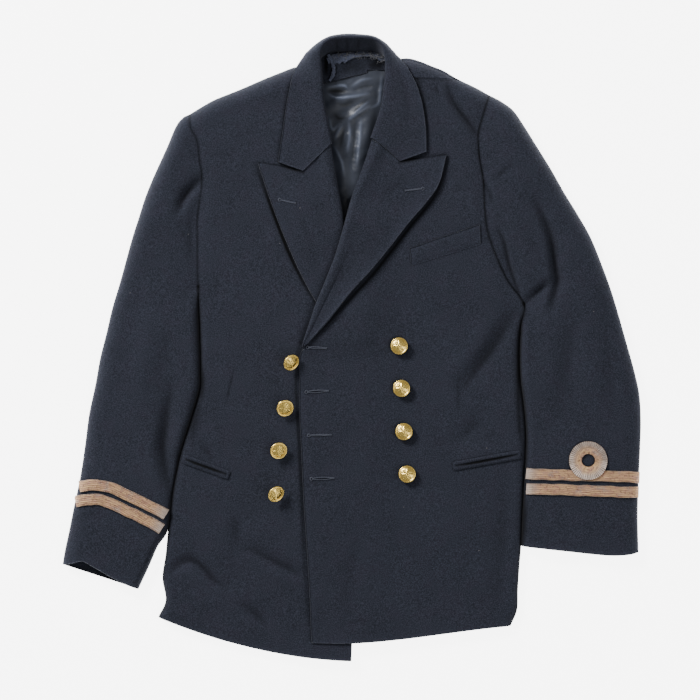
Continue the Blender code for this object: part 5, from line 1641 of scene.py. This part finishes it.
def wool_finish(name, colour, edge_gain=1.0):
    """Fulled dark wool: a close twill under a short nap, faded in patches, with specks of lint. Its free
    edges are paler, partly worn and partly a painted highlight, and shade and highlights are painted
    into its colour in creases, seams, folds and hollows.
    """
    chosen = look()
    paint = Paint(name, Roughness=0.95, Specular_IOR_Level=WOOL_GLOSS, Sheen_Weight=chosen.sheen,
                  Sheen_Roughness=0.5, Sheen_Tint=(0.70, 0.72, 0.80, 1))
    place = paint.place()
    patches = paint.noise(place, 14, 3, 0.55)
    nap = paint.noise(place, 820, 3, 0.7)
    tint = paint.noise(place, 55, 2, 0.5)
    base = paint.mix(paint.ramp(patches, (0.3, 0), (0.72, 1)), shade(colour, 0.78), shade(colour, 1.12))
    warm = (colour[0] * 1.22, colour[1] * 0.96, colour[2] * 1.05, 1)
    base = paint.mix(paint.ramp(tint, (0.45, 0), (0.7, 0.7)), base, warm)
    base = paint.mix(paint.ramp(nap, (0.42, 0), (0.64, 1)), base, shade(colour, 2.7))
    # Paler free edges: partly rubbed wear, partly a painted highlight where the rounded edge meets the light
    edge = paint.measure("edge")
    worn = paint.math("MULTIPLY", edge, paint.ramp(paint.noise(place, 90, 2), (0.35, 0.25), (0.7, 1)))
    base = paint.mix(paint.math("MULTIPLY", worn, 0.28 * edge_gain), base, shade(colour, 2.6))
    lint = paint.node("ShaderNodeTexVoronoi", {"Vector": place, "Scale": 48.0}, feature="F1")
    few = paint.ramp(paint.noise(place, 31, 0), (0.56, 0), (0.6, 1))
    speck = paint.math("MULTIPLY", paint.ramp(lint.outputs["Distance"], (0.022, 1), (0.036, 0)), few)
    base = paint.mix(paint.math("MULTIPLY", speck, chosen.lint), base, (0.22, 0.21, 0.21, 1))
    # Painted highlight on the ridges beside creases (below 0), painted shade in creases, along seams and
    # under edges, and then painted shade in folds and hollows
    tone = paint.measure("tone")
    base = paint.mix(paint.math("MULTIPLY", tone, -1.0), base, shade(colour, 2.2))
    base = paint.mix(tone, base, shade(colour, 0.03))
    hollow = paint.hollows(0.011, chosen.hollow_shade)
    base = paint.mix(hollow, base, shade(colour, 0.03))
    paint.to_shader("Base Color", base)
    twill = paint.wave(paint.place(turn=(0, 0, math.radians(63))), 420, 1.2, detail_scale=2.0)
    height = paint.mix(0.55, twill, nap)
    soft = paint.bump(height, 0.00016, 0.4)
    paint.to_shader("Normal", paint.bump(tint, 0.0006, 0.12, soft))
    return paint.made


@lru_cache
def wool():
    """The jacket's own wool."""
    return wool_finish("jacket_wool", look().wool_colour)


@lru_cache
def facing():
    """A paler copy of the jacket's wool for the band and the loop inside the neck, with its edges paler
    still.
    """
    return wool_finish("neck_band_wool", shade(look().wool_colour, 3.0), 1.6)


SATIN_GLOSS = 0.28
SATIN_SHEEN = 0.16


@lru_cache
def satin():
    """Black satin lining with a soft gloss, with highlights painted on its rumples' ridges and shade painted
    in their troughs and hollows.
    """
    chosen = look()
    colour = chosen.satin_colour
    paint = Paint("lining_satin", Roughness=0.4, Specular_IOR_Level=SATIN_GLOSS, Sheen_Weight=SATIN_SHEEN,
                  Sheen_Roughness=0.3, Sheen_Tint=(0.72, 0.78, 1.0, 1), Anisotropic=0.35)
    place = paint.place()
    cloudy = paint.noise(place, 30, 3)
    base = paint.mix(paint.ramp(cloudy, (0.35, 0), (0.7, 1)), shade(colour, 0.8), shade(colour, 1.25))
    # Painted highlights on the rumples' ridges (below 0), painted shade in their troughs, then painted shade
    # in hollows
    tone = paint.measure("tone")
    base = paint.mix(paint.math("MULTIPLY", tone, -1.0), base, shade(colour, 4.5))
    base = paint.mix(paint.math("MULTIPLY", tone, 1.5), base, shade(colour, 0.12))
    base = paint.mix(paint.hollows(0.02, 0.9), base, shade(colour, 0.1))
    paint.to_shader("Base Color", base)
    threads = paint.wave(place, 900, 1.0, "Y")
    fine = paint.mix(0.5, threads, paint.noise(place, 900, 2))
    paint.to_shader("Normal", paint.bump(fine, 0.00005, 0.5))
    paint.to_shader("Roughness", paint.ramp(cloudy, (0.3, 0.34), (0.75, 0.46)))
    return paint.made


WAVE_PITCH = 0.314  # a wave texture of this scale repeats each metre, as 2 pi over its factor of 20


def braid(name, cord_scale, rib_pitch, cord_share, rib_share, dull):
    """Tarnished gold lace: metal-wrapped threads, pinkish copper where the gilding has gone. Its cords
    run along it, its ribs across it, and it is dull by place: along X or across Y, in two steps."""
    copper, gold, dulled = look().lace_copper[:3], look().lace_gold[:3], look().lace_grey[:3]
    paint = Paint(name, Metallic=0.25, Roughness=0.6, Specular_IOR_Level=0.4)
    place = paint.place()
    patches = paint.noise(place, 75, 3, 0.65)
    spots = paint.noise(place, 330, 3, 0.7)
    streaks = paint.noise(paint.ways((70, 1300, 1)), 1.0, 3, 0.7)
    base = paint.ramp(patches, (0.34, dulled), (0.44, copper), (0.54, gold), (0.66, copper))
    base = paint.mix(paint.ramp(streaks, (0.46, 0), (0.66, 0.85)), base, shade(gold, 1.55))
    base = paint.mix(paint.ramp(streaks, (0.34, 0.75), (0.46, 0)), base, shade(copper, 0.42))
    base = paint.mix(paint.ramp(spots, (0.36, 0.8), (0.45, 0)), base, shade(copper, 0.30))
    cords = paint.wave(paint.ways(), cord_scale, 0.8, "X")
    ribs = paint.wave(paint.ways(), WAVE_PITCH / (rib_pitch * MM), 0.5, "Y")
    base = paint.mix(paint.ramp(cords, (0.0, cord_share), (0.4, 0)), base, shade(copper, 0.45))
    base = paint.mix(paint.ramp(ribs, (0.0, rib_share), (0.35, 0)), base, shade(copper, 0.4))
    parts = paint.node("ShaderNodeSeparateXYZ", {0: paint.ways()})
    dark_grey, pale_grey = shade(dulled, 0.75), shade(dulled, 1.7)
    grey = paint.mix(paint.ramp(cords, (0.2, 0), (0.8, 1)), dark_grey, pale_grey)
    base = paint.mix(paint.ramp(parts.outputs[dull[0]], *dull[1:]), base, grey)
    # Painted shade in the lace's hollows
    base = paint.mix(paint.hollows(0.004, 0.6), base, shade(copper, 0.2))
    paint.to_shader("Base Color", base)
    paint.to_shader("Normal", paint.bump(paint.mix(0.5, paint.mix(0.5, cords, ribs), spots), 0.0003, 0.8))
    paint.to_shader("Roughness", paint.ramp(patches, (0.3, 0.5), (0.7, 0.7)))
    return paint.made


@lru_cache
def gold_lace():
    """The cuffs' lace, whose threads have dulled at the end by the sleeve's seam."""
    return braid("tarnished_gold_lace", 420, 2.3, 0.5, 0.6, ("X", (0.004, 0.8), (0.018, 0)))


@lru_cache
def curl_lace():
    """The loop's lace, whose outer half is dull."""
    return braid("curl_gold_lace", 116, 7.8, 0.7, 0.3, ("Y", (0.0150, 0), (0.0175, 0.85)))


@lru_cache
def gilt():
    """Bright gilt brass, browned in the hollows."""
    chosen = look()
    paint = Paint("gilt_brass", Metallic=1.0, Roughness=0.28)
    place = paint.place()
    worn = paint.noise(place, 400, 3, 0.6)
    brass = chosen.gilt_colour
    base = paint.mix(paint.ramp(worn, (0.36, 0), (0.62, 1)), shade(brass, 0.85), rgba(brass))
    hollow = paint.node("ShaderNodeAmbientOcclusion", {"Distance": 0.0012}, samples=4).outputs["AO"]
    base = paint.mix(paint.ramp(hollow, (0.45, 1), (0.85, 0)), base, shade(brass, 0.22))
    paint.to_shader("Base Color", base)
    paint.to_shader("Roughness", paint.ramp(worn, (0.3, 0.36), (0.7, 0.22)))
    paint.to_shader("Normal", paint.bump(worn, 0.0001, 0.3))
    return paint.made


@lru_cache
def thread():
    """Waxed buttonhole thread, a little paler than the wool."""
    colour = look().wool_colour
    paint = Paint("buttonhole_thread", Roughness=0.6, Specular_IOR_Level=0.5)
    place = paint.place()
    base = paint.mix(paint.noise(place, 800, 2), shade(colour, 2.2), shade(colour, 5.0))
    paint.to_shader("Base Color", base)
    paint.to_shader("Normal", paint.bump(paint.noise(place, 2500, 1), 0.0001, 0.6))
    return paint.made


@lru_cache
def frayed():
    """Frayed linen thread."""
    paint = Paint("frayed_thread", Roughness=0.9, Specular_IOR_Level=0.2)
    worn = paint.noise(paint.place(), 300, 2)
    paint.to_shader("Base Color", paint.mix(worn, (0.09, 0.09, 0.1, 1), (0.2, 0.2, 0.21, 1)))
    return paint.made


@lru_cache
def table_top():
    """The plain pale floor."""
    chosen = look()
    colour = chosen.floor_colour
    paint = Paint("pale_floor", Roughness=0.9, Specular_IOR_Level=0.1, Emission_Strength=chosen.floor_glow,
                  Emission_Color=(1, 1, 1, 1))
    faint = paint.noise(paint.place(), 3, 2)
    paint.to_shader("Base Color", paint.mix(faint, shade(colour, 0.995), rgba(colour)))
    return paint.made


# ---------------- settings, operators and panel

def colour_choice(name, description, default):
    """A colour that a user may change."""
    return FloatVectorProperty(
        name=name, description=description, default=default, size=3, subtype="COLOR", min=0, max=1)


def share_choice(name, description, default):
    """A share from 0 to 1 that a user may change."""
    return FloatProperty(name=name, description=description, default=default, min=0, max=1, subtype="FACTOR")


class JacketLook(bpy.types.PropertyGroup):
    """Colours and finish of the jacket and its stage."""
    wool_colour: colour_choice("Wool", "Colour of the wool", (0.0115, 0.0130, 0.0190))
    satin_colour: colour_choice("Satin", "Colour of the lining", (0.031, 0.036, 0.050))
    lace_copper: colour_choice("Lace, worn", "Colour of the lace where it is tarnished", (0.48, 0.26, 0.18))
    lace_grey: colour_choice("Lace, dulled", "Colour of the lace where it is dull", (0.33, 0.28, 0.25))
    lace_gold: colour_choice("Lace, gilt", "Colour of the lace where it is bright", (0.54, 0.35, 0.17))
    gilt_colour: colour_choice("Buttons", "Colour of the gilt buttons", (0.94, 0.68, 0.19))
    floor_colour: colour_choice("Floor", "Colour of the floor", (0.9, 0.9, 0.9))
    sheen: share_choice("Sheen", "Soft light that the wool's nap throws back", 0.10)
    # How strong the shade painted into the cloth's colour is in folds and under edges
    hollow_shade: share_choice("Hollows", "How dark the cloth is in folds and under edges", 0.85)
    lint: share_choice("Lint", "How plain the specks of lint are", 0.55)
    floor_glow: FloatProperty(
        name="Floor glow", description="Light that the white table gives off", default=6.0, min=0)
    light: FloatProperty(
        name="Light", description="Power of the large soft light above the jacket", default=184.0, min=0,
        unit="POWER")
    camera_height: FloatProperty(
        name="Camera height", description="Height of the camera above the floor", default=4.012, min=0.5,
        unit="LENGTH")


class JACKET_OT_back(bpy.types.Operator):
    """The back, flat on the floor, and the satin lining on it"""
    bl_idname = "jacket.back"
    bl_label = "Back and lining"

    def execute(self, context):
        back()
        lining()
        return {"FINISHED"}


class JACKET_OT_fronts(bpy.types.Operator):
    """The two fronts"""
    bl_idname = "jacket.fronts"
    bl_label = "Fronts"

    def execute(self, context):
        front("right")
        front("left")
        return {"FINISHED"}


class JACKET_OT_sleeves(bpy.types.Operator):
    """The upper and under pieces of both sleeves"""
    bl_idname = "jacket.sleeves"
    bl_label = "Sleeves"

    def execute(self, context):
        for side in ("right", "left"):
            under_sleeve(side)
            top_sleeve(side)
        return {"FINISHED"}


class JACKET_OT_lapels(bpy.types.Operator):
    """The two lapels, turned out on the fronts"""
    bl_idname = "jacket.lapels"
    bl_label = "Lapels"

    def execute(self, context):
        for side, table, top in (("right", LAPEL_R, LAPEL_R_TOP), ("left", LAPEL_L, LAPEL_L_TOP)):
            lapel(f"lapel_{side}", table, top, side)
        return {"FINISHED"}


class JACKET_OT_collar(bpy.types.Operator):
    """The collar round the neck"""
    bl_idname = "jacket.collar"
    bl_label = "Collar"

    def execute(self, context):
        collar()
        return {"FINISHED"}


class JACKET_OT_neck(bpy.types.Operator):
    """The facing inside the neck, with its frayed band and the hanging loop"""
    bl_idname = "jacket.neck"
    bl_label = "Neck"

    def execute(self, context):
        neck_facing()
        band = ribbon("neck_band", FRAYED_BAND, BAND_WIDTH, 0.8, 1.1, 41, BAND_WIDENED)
        fray()
        loop = ribbon("hanger_loop", LOOP, LOOP_WIDTH, 0.9, 1.9, 43)
        return {"FINISHED"}


class JACKET_OT_lace(bpy.types.Operator):
    """The gold lace round the cuffs and its loop"""
    bl_idname = "jacket.lace"
    bl_label = "Cuff lace"

    def execute(self, context):
        for stripe in STRIPES:
            lace(stripe)
        curl_ring()
        return {"FINISHED"}


class JACKET_OT_pockets(bpy.types.Operator):
    """The breast welt and the jets of the hip pockets"""
    bl_idname = "jacket.pockets"
    bl_label = "Pockets"

    def execute(self, context):
        welt()
        for jet in JETS:
            jets(jet)
        return {"FINISHED"}


class JACKET_OT_buttons(bpy.types.Operator):
    """The eight gilt buttons"""
    bl_idname = "jacket.buttons"
    bl_label = "Buttons"

    def execute(self, context):
        for spec in BUTTONS:
            button(spec)
        return {"FINISHED"}


class JACKET_OT_stitching(bpy.types.Operator):
    """The worked buttonholes"""
    bl_idname = "jacket.stitching"
    bl_label = "Stitching"

    def execute(self, context):
        for hole in HOLES:
            buttonhole(hole)
        return {"FINISHED"}


class JACKET_OT_stage(bpy.types.Operator):
    """The floor, the soft light and the camera above the jacket"""
    bl_idname = "jacket.stage"
    bl_label = "Stage"

    def execute(self, context):
        floor()
        lights()
        camera()
        return {"FINISHED"}


# The cut of each sheet: its width, length and flat area, in metres and square metres
Cut = namedtuple("Cut", "width length area held", defaults=("laid",))


class JACKET_PT_panel(bpy.types.Panel):
    """Lists the jacket's colours and the steps that build it"""
    bl_idname = "JACKET_PT_panel"
    bl_label = "Reefer jacket"
    bl_space_type = "VIEW_3D"
    bl_region_type = "UI"
    bl_category = "Jacket"

    def draw(self, context):
        for name in JacketLook.__annotations__:
            self.layout.prop(context.scene.jacket_look, name)
        for step in STEPS:
            self.layout.operator(step.bl_idname)


STEPS = (JACKET_OT_back, JACKET_OT_fronts, JACKET_OT_sleeves, JACKET_OT_lapels, JACKET_OT_collar,
         JACKET_OT_neck, JACKET_OT_lace, JACKET_OT_pockets, JACKET_OT_buttons, JACKET_OT_stitching,
         JACKET_OT_stage)
CLASSES = (JacketLook, *STEPS, JACKET_PT_panel)


def register():
    for item in CLASSES:
        bpy.utils.register_class(item)
    bpy.types.Scene.jacket_look = PointerProperty(type=JacketLook)


def unregister():
    del bpy.types.Scene.jacket_look
    for item in reversed(CLASSES):
        bpy.utils.unregister_class(item)


# ---------------- stage

FLOOR_SIZE = 12.0
FLOOR_DROP = 0.0003  # the floor lies just under the cloth, so that the two don't share a plane
CAMERA_SPOT = (-0.00225, -0.003125)
CAMERA_LENS = 164.6
CAMERA_SENSOR = 36.0
CAMERA_REACH = 50.0
SKY_STRENGTH = 0.33
# Soft lights: where each hangs, how wide it is and its share of the light's power
Lamp = namedtuple("Lamp", "name x y z size share")
LAMPS = table(Lamp, (
    ("overhead", -2.1, 2.1, 1.8, 0.9, 1.0),
    ("fill", 1.6, -0.9, 2.2, 2.2, 0.2),
))


def floor():
    """The pale table that the jacket lies on."""
    half = FLOOR_SIZE / 2
    mesh = bpy.data.meshes.new("floor")
    corners = [(-half, -half), (half, -half), (half, half), (-half, half)]
    mesh.from_pydata([(x, y, -FLOOR_DROP) for x, y in corners], [], [(0, 1, 2, 3)])
    mesh.materials.append(table_top())
    ground = bpy.data.objects.new("floor", mesh)
    bpy.context.scene.collection.objects.link(ground)


def lights():
    """The soft lamps and the even light of the room."""
    power = look().light
    for lamp in LAMPS:
        light = bpy.data.lights.new(lamp.name, "AREA")
        light.size = lamp.size
        light.energy = power * lamp.share
        hung_at = bpy.data.objects.new(lamp.name, light)
        hung_at.location = (lamp.x, lamp.y, lamp.z)
        hung_at.rotation_euler = (-hung_at.location).to_track_quat("-Z", "Y").to_euler()
        bpy.context.scene.collection.objects.link(hung_at)
    world = bpy.data.worlds.new("studio")
    world.use_nodes = True
    sky = world.node_tree.nodes["Background"]
    sky.inputs["Color"].default_value = (1, 1, 1, 1)
    sky.inputs["Strength"].default_value = SKY_STRENGTH
    bpy.context.scene.world = world


def camera():
    """The camera, which looks straight down."""
    lens = bpy.data.cameras.new("camera")
    lens.lens = CAMERA_LENS
    lens.sensor_width = CAMERA_SENSOR
    lens.clip_end = CAMERA_REACH
    eye = bpy.data.objects.new("camera", lens)
    eye.location = (*CAMERA_SPOT, look().camera_height)
    bpy.context.scene.collection.objects.link(eye)
    bpy.context.scene.camera = eye


def main():
    register()
    for step in STEPS:
        group, name = step.bl_idname.split(".")
        getattr(getattr(bpy.ops, group), name)()


if __name__ == "__main__":
    main()
